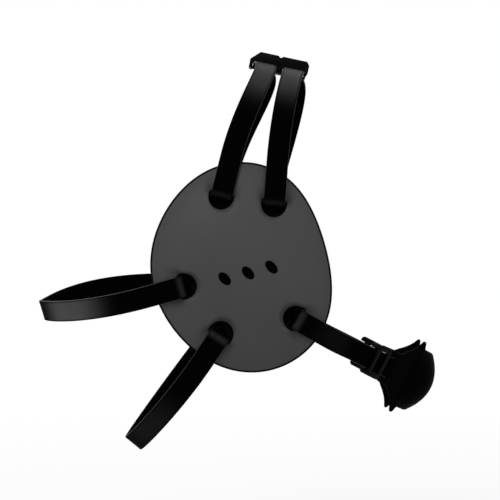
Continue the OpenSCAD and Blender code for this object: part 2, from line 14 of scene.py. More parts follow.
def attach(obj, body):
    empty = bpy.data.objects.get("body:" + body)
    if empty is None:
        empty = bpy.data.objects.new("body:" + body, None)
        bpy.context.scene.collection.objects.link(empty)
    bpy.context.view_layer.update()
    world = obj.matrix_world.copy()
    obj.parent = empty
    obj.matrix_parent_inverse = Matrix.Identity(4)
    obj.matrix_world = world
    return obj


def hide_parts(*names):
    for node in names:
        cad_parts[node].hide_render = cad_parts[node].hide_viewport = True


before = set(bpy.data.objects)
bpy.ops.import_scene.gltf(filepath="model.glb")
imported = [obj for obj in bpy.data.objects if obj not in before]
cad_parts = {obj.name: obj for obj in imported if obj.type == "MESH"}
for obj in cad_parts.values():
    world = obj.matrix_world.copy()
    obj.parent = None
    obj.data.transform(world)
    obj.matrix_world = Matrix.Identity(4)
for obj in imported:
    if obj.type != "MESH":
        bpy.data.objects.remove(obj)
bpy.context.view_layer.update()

Array = np.ndarray
Piece = bpy.types.Object
Skin = bpy.types.Material
MM = 0.001
STRAP_PITCH = 0.9
BAR_EDGE = 0.25
log = logging.getLogger("headgear")


class Side(Enum):
    """The wearer's right cup faces the camera."""

    RIGHT = -1
    LEFT = 1


# Shader maths


class Sock:
    """One value of a shader, on which sums, differences and products add Math nodes."""

    def __init__(self, shader: "Shader", socket: bpy.types.NodeSocket) -> None:
        """Keeps the socket and the shader that it belongs to."""
        self.shader, self.socket = shader, socket

    def _math(self, operation: str, first: object, second: object) -> "Sock":
        """Adds one Math node on two values."""
        return self.shader.node("Math", {0: first, 1: second}, operation=operation)

    def __add__(self, other: object) -> "Sock":
        """Sum."""
        return self._math("ADD", self, other)

    __radd__ = __add__

    def __sub__(self, other: object) -> "Sock":
        """Difference."""
        return self._math("SUBTRACT", self, other)

    def __rsub__(self, other: object) -> "Sock":
        """Difference with the value on the right."""
        return self._math("SUBTRACT", other, self)

    def __mul__(self, other: object) -> "Sock":
        """Product."""
        return self._math("MULTIPLY", self, other)

    __rmul__ = __mul__

    def wave(self) -> "Sock":
        """Sine, with the value as an angle."""
        return self._math("SINE", self, 0.0)

    def held(self, low: float = 0.0, high: float = 1.0) -> "Sock":
        """The share of the way from low to high, kept between 0 and 1."""
        return self.shader.node("MapRange", {"Value": self, "From Min": low, "From Max": high}, clamp=True)


class Shader:
    """The nodes of one material, or of the world."""

    def __init__(self, name: str, world: bool = False) -> None:
        """Makes the material or the world, with nothing in its tree but the output.

        Args:
            name: Its name.
            world: Whether it is the world.
        """
        self.owner = (bpy.data.worlds if world else bpy.data.materials).new(name)
        self.owner.use_nodes = True
        self.tree = self.owner.node_tree
        self.tree.nodes.clear()
        self.output = self.tree.nodes.new("ShaderNodeOutput" + ("World" if world else "Material"))

    def node(self, kind: str, inputs: dict | None = None, out: object = 0, **settings: object) -> Sock:
        """Adds any node, with its settings first and its inputs after them.

        Args:
            kind: The node's type without its prefix.
            inputs: Values or links by socket name or number.
            out: The output socket that is returned.
            **settings: The node's own properties.

        Returns:
            The chosen output.
        """
        node = self.tree.nodes.new("ShaderNode" + kind)
        for key, value in settings.items():
            setattr(node, key, value)
        for key, value in (inputs or {}).items():
            if isinstance(value, Sock):
                self.tree.links.new(value.socket, node.inputs[key])
            else:
                node.inputs[key].default_value = value
        return Sock(self, node.outputs[out])

    def spot(self) -> Sock:
        """Object coordinates in metres."""
        return self.node("TexCoord", out="Object")

    def mark(self, name: str) -> Sock:
        """An attribute of the mesh."""
        return self.node("Attribute", attribute_name=name, out="Fac")

    def noise(self, scale: float, detail: float, rough: float = 0.5) -> Sock:
        """Noise from 0 to 1, with scale in blobs per metre."""
        return self.node("TexNoise", {"Vector": self.spot(), "Scale": scale, "Detail": detail,
                                      "Roughness": rough})

    def tint(self, share: Sock, low: Sock | tuple, high: Sock | tuple) -> Sock:
        """A colour between two. The Mix node's colour sockets go by number, because its kinds share names."""
        low, high = (end if isinstance(end, Sock) else (*end, 1.0) for end in (low, high))
        return self.node("Mix", {0: share, 6: low, 7: high}, out=2, data_type="RGBA")

    def bump(self, height: Sock, depth_mm: float, after: Sock | None = None) -> Sock:
        """A normal from a height between 0 and 1, scaled to a depth, on top of another if one is given."""
        inputs = {"Height": height, "Distance": depth_mm * MM, "Strength": 1.0}
        return self.node("Bump", inputs if after is None else {**inputs, "Normal": after})

    def finish(self, colour: Sock, roughness: Sock, normal: Sock, **plain: object) -> Skin:
        """Adds the Principled BSDF.

        Args:
            colour: Base colour.
            roughness: Roughness.
            normal: Normal from the bumps.
            **plain: Other inputs, with spaces written as underscores.

        Returns:
            The finished material.
        """
        inputs = {"Base Color": colour, "Roughness": roughness, "Normal": normal}
        inputs.update({key.replace("_", " "): value for key, value in plain.items()})
        return self.show(self.node("BsdfPrincipled", inputs))

    def show(self, surface: Sock) -> Skin | bpy.types.World:
        """Links the surface to the output, and returns the finished material or world."""
        self.tree.links.new(surface.socket, self.output.inputs["Surface"])
        return self.owner


# Finishes


@dataclass(frozen=True)
class ShellPlastic:
    """Satin dark grey moulding with a fine spark-eroded grain and faint scuffs.

    A mesh attribute holds painted shade: darker deep in each strap ramp and beside the strap near its slot,
    where the moulding is also rougher.
    """

    base: tuple = (0.0380, 0.0380, 0.0398)
    worn: tuple = (0.0485, 0.0485, 0.0502)
    # colour of the painted shade in the strap ramps and beside the straps
    painted_shade_colour: tuple = (0.010, 0.010, 0.0105)
    rough: float = 0.50
    gloss: float = 0.10
    cloud_per_m: float = 22.0
    scuff_per_m: float = 160.0
    scuffed: tuple = (0.62, 0.74)
    grain_per_m: float = 2600.0
    grain_mm: float = 0.012

    def build(self) -> Skin:
        """Makes the material: soft clouds and scuffs lighten it, and painted shade darkens it in the ramps
        and beside the straps.

        Returns:
            The material.
        """
        sh = Shader("shell_plastic")
        cloud = sh.noise(self.cloud_per_m, 4.0)
        grain = sh.noise(self.grain_per_m, 2.0)
        scuff = sh.noise(self.scuff_per_m, 6.0, 0.7).held(*self.scuffed)
        unshaded = sh.tint(cloud.held(0.3, 0.7) * 0.5 + scuff * 0.35, self.base, self.worn)
        # painted shade: the colour darkens towards near black in the ramps and beside the straps
        painted_ramp_shade = sh.mark("painted_ramp_shade")
        colour = sh.tint(painted_ramp_shade * (0.75 + cloud * 0.25), unshaded, self.painted_shade_colour)
        rough = self.rough + cloud * 0.06 - scuff * 0.06 + painted_ramp_shade * 0.2
        return sh.finish(colour, rough, sh.bump(grain, self.grain_mm), Specular_IOR_Level=self.gloss)


@dataclass(frozen=True)
class ClosedCellFoam:
    """Matt black foam with a pitted skin."""

    name: str = "closed_cell_foam"
    base: tuple = (0.0012, 0.0012, 0.0014)
    pale: tuple = (0.0060, 0.0060, 0.0064)
    cell_per_m: float = 1500.0
    pit_mm: float = 0.10
    gloss: float = 0.02
    rough: float = 0.82
    cloud_per_m: float = 60.0
    dimple_per_m: float = 420.0
    dimple_mm: float = 0.05

    def build(self) -> Skin:
        """Makes the material: the distance to scattered points gives the pits, and noise the dimples.

        Returns:
            The material.
        """
        sh = Shader(self.name)
        pits = sh.node("TexVoronoi", {"Vector": sh.spot(), "Scale": self.cell_per_m})
        cloud = sh.noise(self.cloud_per_m, 4.0)
        colour = sh.tint(cloud.held(0.3, 0.75) * 0.6 + pits * 0.4, self.base, self.pale)
        rough = self.rough + cloud * 0.12
        normal = sh.bump(sh.noise(self.dimple_per_m, 3.0), self.dimple_mm, sh.bump(pits, self.pit_mm))
        return sh.finish(colour, rough, normal, Specular_IOR_Level=self.gloss)


@dataclass(frozen=True)
class WovenWebbing:
    """Tight black webbing: ribs of weft across the strap, crossed by a twill of warp.

    A mesh attribute says where a highlight is painted on the outer face: there the colour lightens, a coat is
    laid on and the roughness drops.
    """

    dark: tuple = (0.0001, 0.0001, 0.00014)
    light: tuple = (0.0009, 0.0009, 0.0011)
    # colour of the painted highlight on the webbing's outer face
    wear_and_sheen: tuple = (0.050, 0.050, 0.052)
    rib_mm: float = 1.0
    end_mm: float = 0.8
    depth_mm: float = 0.10
    fuzz_per_m: float = 1600.0
    fuzz_mm: float = 0.03
    wear_per_m: float = 90.0
    rough: float = 0.72
    gloss: float = 0.005
    coat: float = 0.7
    coat_rough: float = 0.45

    def build(self) -> Skin:
        """Makes the material, which reads the strap's own map: along it and across it, in metres.

        Returns:
            The material.
        """
        sh = Shader("woven_webbing")
        way = sh.node("UVMap", uv_map="weave")
        along, across = (sh.node("SeparateXYZ", {"Vector": way}, out=part) for part in (0, 1))
        painted_sheen = sh.mark("painted_sheen")
        turn = 2 * math.pi / MM
        ribs = (along * (turn / self.rib_mm)).wave()
        twill = ((across + along * 0.5) * (turn / self.end_mm)).wave()
        fuzz = sh.noise(self.fuzz_per_m, 3.0)
        thread = ribs * 0.26 + twill * 0.24 + 0.5
        wear = sh.noise(self.wear_per_m, 5.0).held(0.4, 0.8)
        cloth = sh.tint(thread * 0.6 + fuzz * 0.2 + wear * 0.2, self.dark, self.light)
        # painted highlight: where the attribute is set, the colour lifts towards pale grey and a coat is laid
        # on
        shine = painted_sheen * (0.55 + thread * 0.35 + wear * 0.1)
        colour = sh.tint(shine, cloth, self.wear_and_sheen)
        rough = self.rough + fuzz * 0.10 - painted_sheen * 0.16
        normal = sh.bump(fuzz, self.fuzz_mm, sh.bump(thread, self.depth_mm))
        return sh.finish(colour, rough, normal, Specular_IOR_Level=self.gloss,
                         Coat_Weight=shine * self.coat, Coat_Roughness=self.coat_rough)


@dataclass(frozen=True)
class MouldedBlack:
    """Black moulding for sliders, adjuster, bars and chin cup, finely grained, with worn, lighter high spots.
    """

    name: str
    base: tuple = (0.0006, 0.0006, 0.0007)
    # colour of the worn high spots
    wear_and_sheen: tuple = (0.0045, 0.0045, 0.0048)
    rough: float = 0.40
    gloss: float = 0.03
    grain_per_m: float = 2200.0
    grain_mm: float = 0.014
    rub_per_m: float = 240.0

    def build(self) -> Skin:
        """Makes the material: noise gives the grain, and the tops of a coarser noise are worn lighter.

        Returns:
            The material.
        """
        sh = Shader(self.name)
        grain = sh.noise(self.grain_per_m, 2.0)
        rub = sh.noise(self.rub_per_m, 5.0, 0.65).held(0.58, 0.78)
        colour = sh.tint(rub * 0.6 + grain * 0.15, self.base, self.wear_and_sheen)
        rough = self.rough + grain * 0.08 + rub * 0.08
        return sh.finish(colour, rough, sh.bump(grain, self.grain_mm), Specular_IOR_Level=self.gloss)


# Meshes


def heading(degrees: Array | float) -> Array:
    """Unit vectors in a plane: cosine and sine of each angle."""
    a = np.radians(np.asarray(degrees, float))
    return np.stack([np.cos(a), np.sin(a)], -1)


def bearing(v: Array) -> Array:
    """Direction of each vector in degrees, from 0 to 360."""
    return np.degrees(np.arctan2(v[..., 1], v[..., 0])) % 360


def axes(degrees: float) -> Array:
    """Two unit vectors as rows: along a direction, and to the left of it."""
    return np.stack([heading(degrees), heading(degrees + 90)])


def along_and_left(v: Array, degrees: float) -> tuple[Array, Array]:
    """Each vector's parts along a direction and to the left of it."""
    return v @ heading(degrees), v @ heading(degrees + 90)


def unit(v: Array) -> Array:
    """Vectors shortened or stretched to length 1."""
    return v / np.linalg.norm(v, axis=-1, keepdims=True)


def signed_power(v: Array, power: float) -> Array:
    """Values raised to a power, with their signs kept."""
    return np.sign(v) * np.abs(v) ** power


def bezier(points: list, t: Array) -> Array:
    """Cubic curve: the four points weighted by the terms of (1 - t + t) cubed.

    Args:
        points: Both ends, with the two handles between them.
        t: Places on the curve, from 0 to 1.

    Returns:
        The curve's points.
    """
    a, b, c, d = (np.asarray(p, float) for p in points)
    t = t[:, None]
    return (1 - t) ** 3 * a + 3 * (1 - t) ** 2 * t * b + 3 * (1 - t) * t * t * c + t ** 3 * d


def round_off(away: Array, r: float) -> Array:
    """What an edge of radius r takes off: r less the root of r squared less (r less the distance) squared."""
    near = np.clip(r - away, 0, r)
    return r - np.sqrt(r * r - near * near)


def run_of(points: Array) -> Array:
    """Length of the way from the first point to each of them."""
    return np.concatenate([[0], np.cumsum(np.linalg.norm(np.diff(points, axis=0), axis=1))])


def numbered(loops: list) -> list:
    """Point numbers of each loop, where the loops' points come one after another."""
    ends = np.cumsum([len(loop) for loop in loops])
    return [np.arange(end - len(loop), end) for loop, end in zip(loops, ends)]


def grid_faces(rows: int, cols: int, loop_rows: bool = False, loop_cols: bool = True) -> Array:
    """Quads between neighbouring points of a grid.

    Args:
        rows: Number of rows.
        cols: Points in a row, which are numbered row by row.
        loop_rows: Whether the last row joins the first.
        loop_cols: Whether each row closes.

    Returns:
        Four point numbers for each quad.
    """
    i = np.arange(rows if loop_rows else rows - 1)[:, None]
    j = np.arange(cols if loop_cols else cols - 1)[None, :]
    k, l = (i + 1) % rows, (j + 1) % cols
    quads = np.broadcast_arrays(i * cols + j, k * cols + j, k * cols + l, i * cols + l)
    return np.stack(quads, -1).reshape(-1, 4)


def band(a: Array, b: Array) -> Array:
    """Quads between two closed loops of point numbers."""
    return np.stack([a, b, np.roll(b, -1), np.roll(a, -1)], -1)


def volume(points: Array, lists: list) -> float:
    """Signed volume of a closed mesh: a sixth of the sum of each triangle's triple product.

    Args:
        points: The mesh's points.
        lists: Arrays of triangles or quads. A quad counts as two triangles.

    Returns:
        The volume, below 0 where the faces point inwards.
    """
    total = 0.0
    for faces in lists:
        corners = points[faces]
        for k in range(1, faces.shape[1] - 1):
            total += (corners[:, 0] * np.cross(corners[:, k], corners[:, k + 1])).sum()
    return float(total) / 6


def add(name: str, data: bpy.types.ID, smooth: bool = False) -> Piece:
    """Puts a mesh, a lamp or a camera into the scene, at the origin.

    Args:
        name: The object's name.
        data: The mesh, lamp or camera.
        smooth: Whether it is a mesh with smooth faces.

    Returns:
        The object.
    """
    if smooth:
        data.polygons.foreach_set("use_smooth", np.ones(len(data.polygons), bool))
    piece = bpy.data.objects.new(name, data)
    bpy.context.scene.collection.objects.link(piece)
    return piece


def closed_piece(name: str, points: Array, lists: list, weave: Array | None = None,
                 marks: dict | None = None) -> Piece:
    """Makes a closed piece from points in millimetres, with its faces turned outwards.

    Args:
        name: The piece's name.
        points: One row of three numbers for each point.
        lists: Arrays of triangles or quads, wound alike.
        weave: Two numbers for each point that become the map called weave, in metres.
        marks: One number for each point, by the name of the attribute that it becomes.

    Returns:
        The object, at the origin.
    """
    if volume(points, lists) < 0:
        lists = [f[:, ::-1] for f in lists]
    mesh = bpy.data.meshes.new(name)
    mesh.from_pydata((points * MM).tolist(), [], [face for f in lists for face in f.tolist()])
    if weave is not None:
        corners = np.zeros(len(mesh.loops), np.int32)
        mesh.loops.foreach_get("vertex_index", corners)
        layer = mesh.uv_layers.new(name="weave")
        layer.data.foreach_set("uv", (weave[corners] * MM).astype(np.float32).ravel())
    for key, values in (marks or {}).items():
        mesh.attributes.new(key, "FLOAT", "POINT").data.foreach_set("value", values.astype(np.float32))
    mesh.update()
    return add(name, mesh, smooth=True)


def tube(name: str, rings: Array, weave: Array | None = None, painted_sheen: Array | None = None) -> Piece:
    """A closed piece from rings of points: quads between the rings, and a fan about the middle at each end.

    Args:
        name: The piece's name.
        rings: Points by ring and by place round the ring.
        weave: The map called weave, by ring and place.
        painted_sheen: The painted highlight attribute, by ring and place.

    Returns:
        The object.
    """
    n, m = rings.shape[:2]
    points = np.concatenate([rings.reshape(-1, 3), rings[:1].mean(1), rings[-1:].mean(1)])
    j = np.arange(m)
    first = np.stack([np.full(m, n * m), j, (j + 1) % m], -1)
    last = np.stack([np.full(m, n * m + 1), (n - 1) * m + (j + 1) % m, (n - 1) * m + j], -1)
    if weave is not None:
        weave = np.concatenate([weave.reshape(-1, 2), weave[:1].mean(1), weave[-1:].mean(1)])
    marks = {} if painted_sheen is None else {"painted_sheen": np.append(painted_sheen.ravel(), [0.0, 0.0])}
    return closed_piece(name, points, [grid_faces(n, m), first, last], weave, marks)


def dressed_copy(node: str, name: str, edge_mm: float) -> Piece:
    """A merged copy of a CAD node, with its flat faces whole again and its edges rounded by a bevel.

    Args:
        node: The CAD node.
        name: The piece's name.
        edge_mm: Width of the bevel.

    Returns:
        The copy.
    """
    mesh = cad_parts[node].data.copy()
    work = bmesh.new()
    work.from_mesh(mesh)
    bmesh.ops.remove_doubles(work, verts=work.verts, dist=1e-6)
    bmesh.ops.dissolve_limit(work, angle_limit=math.radians(0.5), verts=work.verts, edges=work.edges)
    work.to_mesh(mesh)
    work.free()
    piece = add(name, mesh, smooth=True)
    bevel = piece.modifiers.new("edge", "BEVEL")
    bevel.width, bevel.segments, bevel.limit_method = edge_mm * MM, 3, "ANGLE"
    bevel.angle_limit, bevel.harden_normals, bevel.miter_outer = math.radians(35), True, "MITER_ARC"
    return piece


def settle(piece: Piece, body: str, slot: str, skin: Skin, *nodes: str) -> Piece:
    """Gives a piece its finish and its body, and lets it stand for its CAD nodes.

    Args:
        piece: The piece.
        body: The body that it rides on.
        slot: The record's material; not used.
        skin: The finish.
        *nodes: The CAD nodes that it replaces.

    Returns:
        The same piece.
    """
    piece.data.materials.clear()
    piece.data.materials.append(skin)
    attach(piece, body)
    if nodes:
        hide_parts(*nodes)
    log.info("%s: %d faces", piece.name, len(piece.data.polygons))
    return piece


def moulding(node: str, name: str, edge_mm: float, body: str, skin: Skin) -> Piece:
    """A CAD node with rounded edges, as a moulded piece on its body."""
    return settle(dressed_copy(node, name, edge_mm), body, "moulded", skin, node)


# Ear cups


@dataclass(frozen=True)
class Slot:
    """One strap slot: its direction from the cup's middle, its strap's direction and swing to each side."""

    place: float
    lean: float
    fan: float


class Slots(Enum):
    """The five slots of a cup."""

    TOP_REAR = Slot(107.0, 77.0, 5.0)
    TOP_FRONT = Slot(63.8, 83.0, 9.0)
    UPPER = Slot(197.5, 188.0, 16.0)
    LOWER = Slot(251.5, 235.0, 11.0)
    CHIN = Slot(316.2, 330.0, 12.0)


@dataclass
class CupForm:
    """Shape of a cup in its own frame: u forward, v up and w outwards from the ear cushion's face."""

    head_w: float = 150.0
    lobes: tuple = ((-3.5, 20.0, 46.5), (1.5, -9.5, 50.0), (-9.0, 4.5, 50.5))
    lobe_blend: float = 6.0
    middle: tuple = (-3.0, 3.0)
    ear: tuple = (22.0, 30.0)
    soft_t: float = 11.0
    firm_t: float = 5.0
    dome_h: float = 16.0
    wall: float = 2.6
    fullness: float = 2.2
    shoulder: float = 0.75
    foam_edge: float = 1.2
    strap_w: float = 13.0
    strap_t: float = 1.6
    gap: float = 0.3
    slot_inset: float = 17.0
    slot_room: float = 1.0
    slot_l: float = 4.5
    slot_corner: float = 4.0
    ramp_wall: float = 1.2
    ramp_slope: float = 0.9
    ramp_out: float = 0.15
    foot_round: float = 0.25
    brow_round: float = 0.3
    bar_r: float = 1.2
    bar_room: float = 0.3
    bar_reach: float = 2.0
    step: float = 2.5

    def __post_init__(self) -> None:
        """Works out the values that several shapes share, and a table of the rim's distance by direction."""
        self.mid = np.array(self.middle)
        self.rim_w = self.soft_t + self.firm_t
        self.slot_r = self.strap_w / 2 + self.slot_room
        self.bar_l = 2 * (self.slot_r + self.bar_reach)
        self.eye_r = self.bar_r + self.bar_room + self.strap_t / 2
        widest = max(slot.value.fan for slot in Slots)
        self.ramp_start = self.slot_l - self.strap_w / 2 * math.sin(math.radians(widest)) - self.gap
        rim = self.rim(np.arange(0, 360, 0.5)) - self.mid
        order = np.argsort(bearing(rim))
        self.table = bearing(rim)[order], np.linalg.norm(rim, axis=1)[order]

    def rim(self, degrees: Array) -> Array:
        """Rim points: each lobe's own rim point, weighted by the exponential of how far that lobe reaches.

        Args:
            degrees: Directions that the rim faces.

        Returns:
            A plan point for each direction.
        """
        n, lobes = heading(degrees), np.array(self.lobes)
        reach = n @ lobes[:, :2].T + lobes[:, 2]
        share = np.exp((reach - lobes[1, 2]) / self.lobe_blend)
        spots = lobes[:, :2] + lobes[:, 2:3] * n[..., None, :]
        return (share[..., None] * spots).sum(-2) / share.sum(-1)[..., None]

    def radius(self, q: Array) -> Array:
        """Distance from the middle to the rim, through each point."""
        return np.interp(bearing(q - self.mid), *self.table, period=360)

    def share(self, q: Array) -> Array:
        """How far out each point lies, from 0 at the middle to 1 at the rim."""
        return np.linalg.norm(q - self.mid, axis=-1) / self.radius(q)

    def dome(self, share: Array, rise: float) -> Array:
        """Height over the rim: rise times (1 - share to the fullness) to the shoulder."""
        return rise * np.maximum(0, 1 - np.minimum(share, 1) ** self.fullness) ** self.shoulder

    def top(self, q: Array) -> Array:
        """Height of the shell's outside."""
        return self.rim_w + self.dome(self.share(q), self.dome_h)

    def under(self, q: Array) -> Array:
        """Height of the shell's inside."""
        share = np.linalg.norm(q - self.mid, axis=-1) / (self.radius(q) - self.wall)
        return self.rim_w + self.dome(share, self.dome_h - self.wall)

    def pivot(self, slot: Slot) -> Array:
        """Centre of a slot's round end, in plan."""
        d = heading(slot.place)
        return self.mid + d * (self.radius(self.mid + d) - self.slot_inset)

    def local(self, slot: Slot, q: Array) -> tuple[Array, Array]:
        """Each point's place along a slot, from its pivot, and to the left of it."""
        return along_and_left(q - self.pivot(slot), slot.lean)

    def turned(self, slot: Slot, along: Array | float, across: float) -> Array:
        """Plan points at both edges and the middle of a strap, in the middle and at both ends of its fan.

        Args:
            slot: The slot.
            along: Distance from the pivot.
            across: Half of the strap's width.

        Returns:
            Nine points for each distance.
        """
        turn = slot.lean + np.array([-1, 0, 1]) * slot.fan
        along = np.asarray(along, float)[..., None, None, None]
        sideways = across * np.array([-1, 0, 1])[None, :, None] * heading(turn + 90)[:, None, :]
        return self.pivot(slot) + along * heading(turn)[:, None, :] + sideways

    def bar_w(self, slot: Slot) -> float:
        """Height of the bar's middle, just clear of the shell's inside."""
        return float(self.under(self.turned(slot, self.bar_r, self.bar_l / 2)).min()) - self.gap - self.bar_r

    def ramp_w(self, slot: Slot) -> float:
        """Height of the ramp that the strap leaves the slot by.

        Args:
            slot: The slot.

        Returns:
            The height at which the strap lies, or more where the shell would be too thin.
        """
        level = self.bar_w(slot) + self.eye_r - self.strap_t / 2 - self.gap
        under = float(self.under(self.turned(slot, self.slot_l, self.slot_r)).max())
        return max(level, self.ramp_wall + under)

    def cone(self, slot: Slot, q: Array) -> Array:
        """Distance from the plan of an endless slot: round behind the tangent points, then straight.

        Args:
            slot: The slot.
            q: Plan points.

        Returns:
            The distances, below 0 inside.
        """
        x, y = self.local(slot, q)
        behind = np.abs(np.degrees(np.arctan2(y, x))) > 90 + slot.fan
        up, down = heading(90 + slot.fan), heading(-90 - slot.fan)
        sides = np.maximum(x * up[0] + y * up[1], x * down[0] + y * down[1])
        return np.where(behind, np.hypot(x, y), sides) - self.slot_r

    def carved(self, q: Array) -> Array:
        """Outside of the shell with its ramps.

        A hyperbola rounds the foot of each ramp's sloping sides, and another the top, at the dome.

        Args:
            q: Plan points.

        Returns:
            Their heights.
        """
        high = self.top(q)
        for slot in Slots:
            x = self.cone(slot.value, q) + self.ramp_out
            walls = self.ramp_w(slot.value) + self.ramp_slope * (x + np.sqrt(x * x + self.foot_round))
            high = 0.5 * (high + walls - np.sqrt((high - walls) ** 2 + self.brow_round))
        return high

    def painted_ramp_shade(self, q: Array) -> Array:
        """Painted shade for each spot: by its depth in a ramp, and beside the strap near the slot.

        Outside a ramp it fades as e to the power of minus (distance over spread) squared.

        Args:
            q: Plan points.

        Returns:
            Shares from 0 to 1.
        """
        shallow, span, spread, side_share = 0.2, 1.4, 2.4, 0.7
        lead, rise, reach, fade = 2.0, 4.0, 11.0, 8.0
        deep = np.clip((self.top(q) - self.carved(q) - shallow) / span, 0, 1)
        dark = np.zeros(q.shape[:-1])
        for slot in Slots:
            along = self.local(slot.value, q)[0]
            off = np.maximum(self.cone(slot.value, q), 0)
            beside = np.clip((reach - along) / fade, 0, 1) * side_share
            here = np.clip((along + lead) / rise, 0, 1) * np.exp(-(off / spread) ** 2)
            dark = np.maximum(dark, here * np.maximum(deep, beside))
        return dark

    def place(self, side: Side, plan: Array, w: Array) -> Array:
        """Points of the cup's frame in the headgear's frame."""
        return np.stack([plan[..., 0], side.value * (self.head_w / 2 + w), plan[..., 1]], -1)

    def hole(self, slot: Slot, out: float, pitch: float = 0.6) -> Array:
        """Outline of a slot's opening, moved outwards by out: a big arc, two corner arcs and straight sides.

        Args:
            slot: The slot.
            out: Distance from the opening's edge.
            pitch: Distance between neighbouring points.

        Returns:
            Plan points, anticlockwise, the same number for every distance.
        """
        fan, r, corner = slot.fan, self.slot_r, self.slot_corner
        x = self.slot_l - corner
        y = (r - corner + x * math.sin(math.radians(fan))) / math.cos(math.radians(fan))
        arcs = [((0.0, 0.0), r, 90 + fan, 270 - fan), ((x, -y), corner, 270 - fan, 360),
                ((x, y), corner, 0, 90 + fan)]
        dots = []
        for (centre, radius, start, stop), after in zip(arcs, arcs[1:] + arcs[:1]):
            n = max(4, int(math.radians(stop - start) * (radius + pitch) / pitch))
            arc = np.array(centre) + (radius + out) * heading(np.linspace(start, stop, n))
            goal = np.array(after[0]) + (after[1] + out) * heading(stop)
            gap = max(1, int(np.linalg.norm(np.array(after[0]) - centre) / pitch))
            t = np.arange(1, gap)[:, None] / gap
            dots += [arc, arc[-1] * (1 - t) + goal * t]
        return self.pivot(slot) + np.concatenate(dots) @ axes(slot.lean)


@dataclass
class SoundHoles:
    """A slanting row of three ovals over the ear. cover is half the width of the black sheet behind them."""

    long: float = 9.0
    wide: float = 5.5
    pitch: float = 14.2
    rise: float = 14.0
    slant: float = -47.0
    places: tuple = (-1, 0, 1)
    cover: float = 8.5

    def outline(self, place: int, out: float, count: int = 44) -> Array:
        """An oval moved outwards by out along its own normals.

        Args:
            place: The oval's place in the row, from its middle.
            out: Distance from the opening's edge.
            count: Number of points.

        Returns:
            Plan points, anticlockwise.
        """
        a = np.linspace(0, 2 * math.pi, count, endpoint=False)
        half = np.array([self.long / 2, self.wide / 2])
        dots = np.stack([np.cos(a), np.sin(a)], -1)
        flat = dots * half + out * unit(dots / half)
        return place * self.pitch * heading(self.rise) + flat @ axes(self.slant)

    def near(self, q: Array, out: float) -> Array:
        """Finds the points inside any of the ovals.

        Args:
            q: Plan points.
            out: How much each oval is grown.

        Returns:
            True for each point inside.
        """
        inside = np.zeros(len(q), bool)
        for place in self.places:
            x, y = along_and_left(q - place * self.pitch * heading(self.rise), self.slant)
            inside |= (x / (self.long / 2 + out)) ** 2 + (y / (self.wide / 2 + out)) ** 2 < 1
        return inside


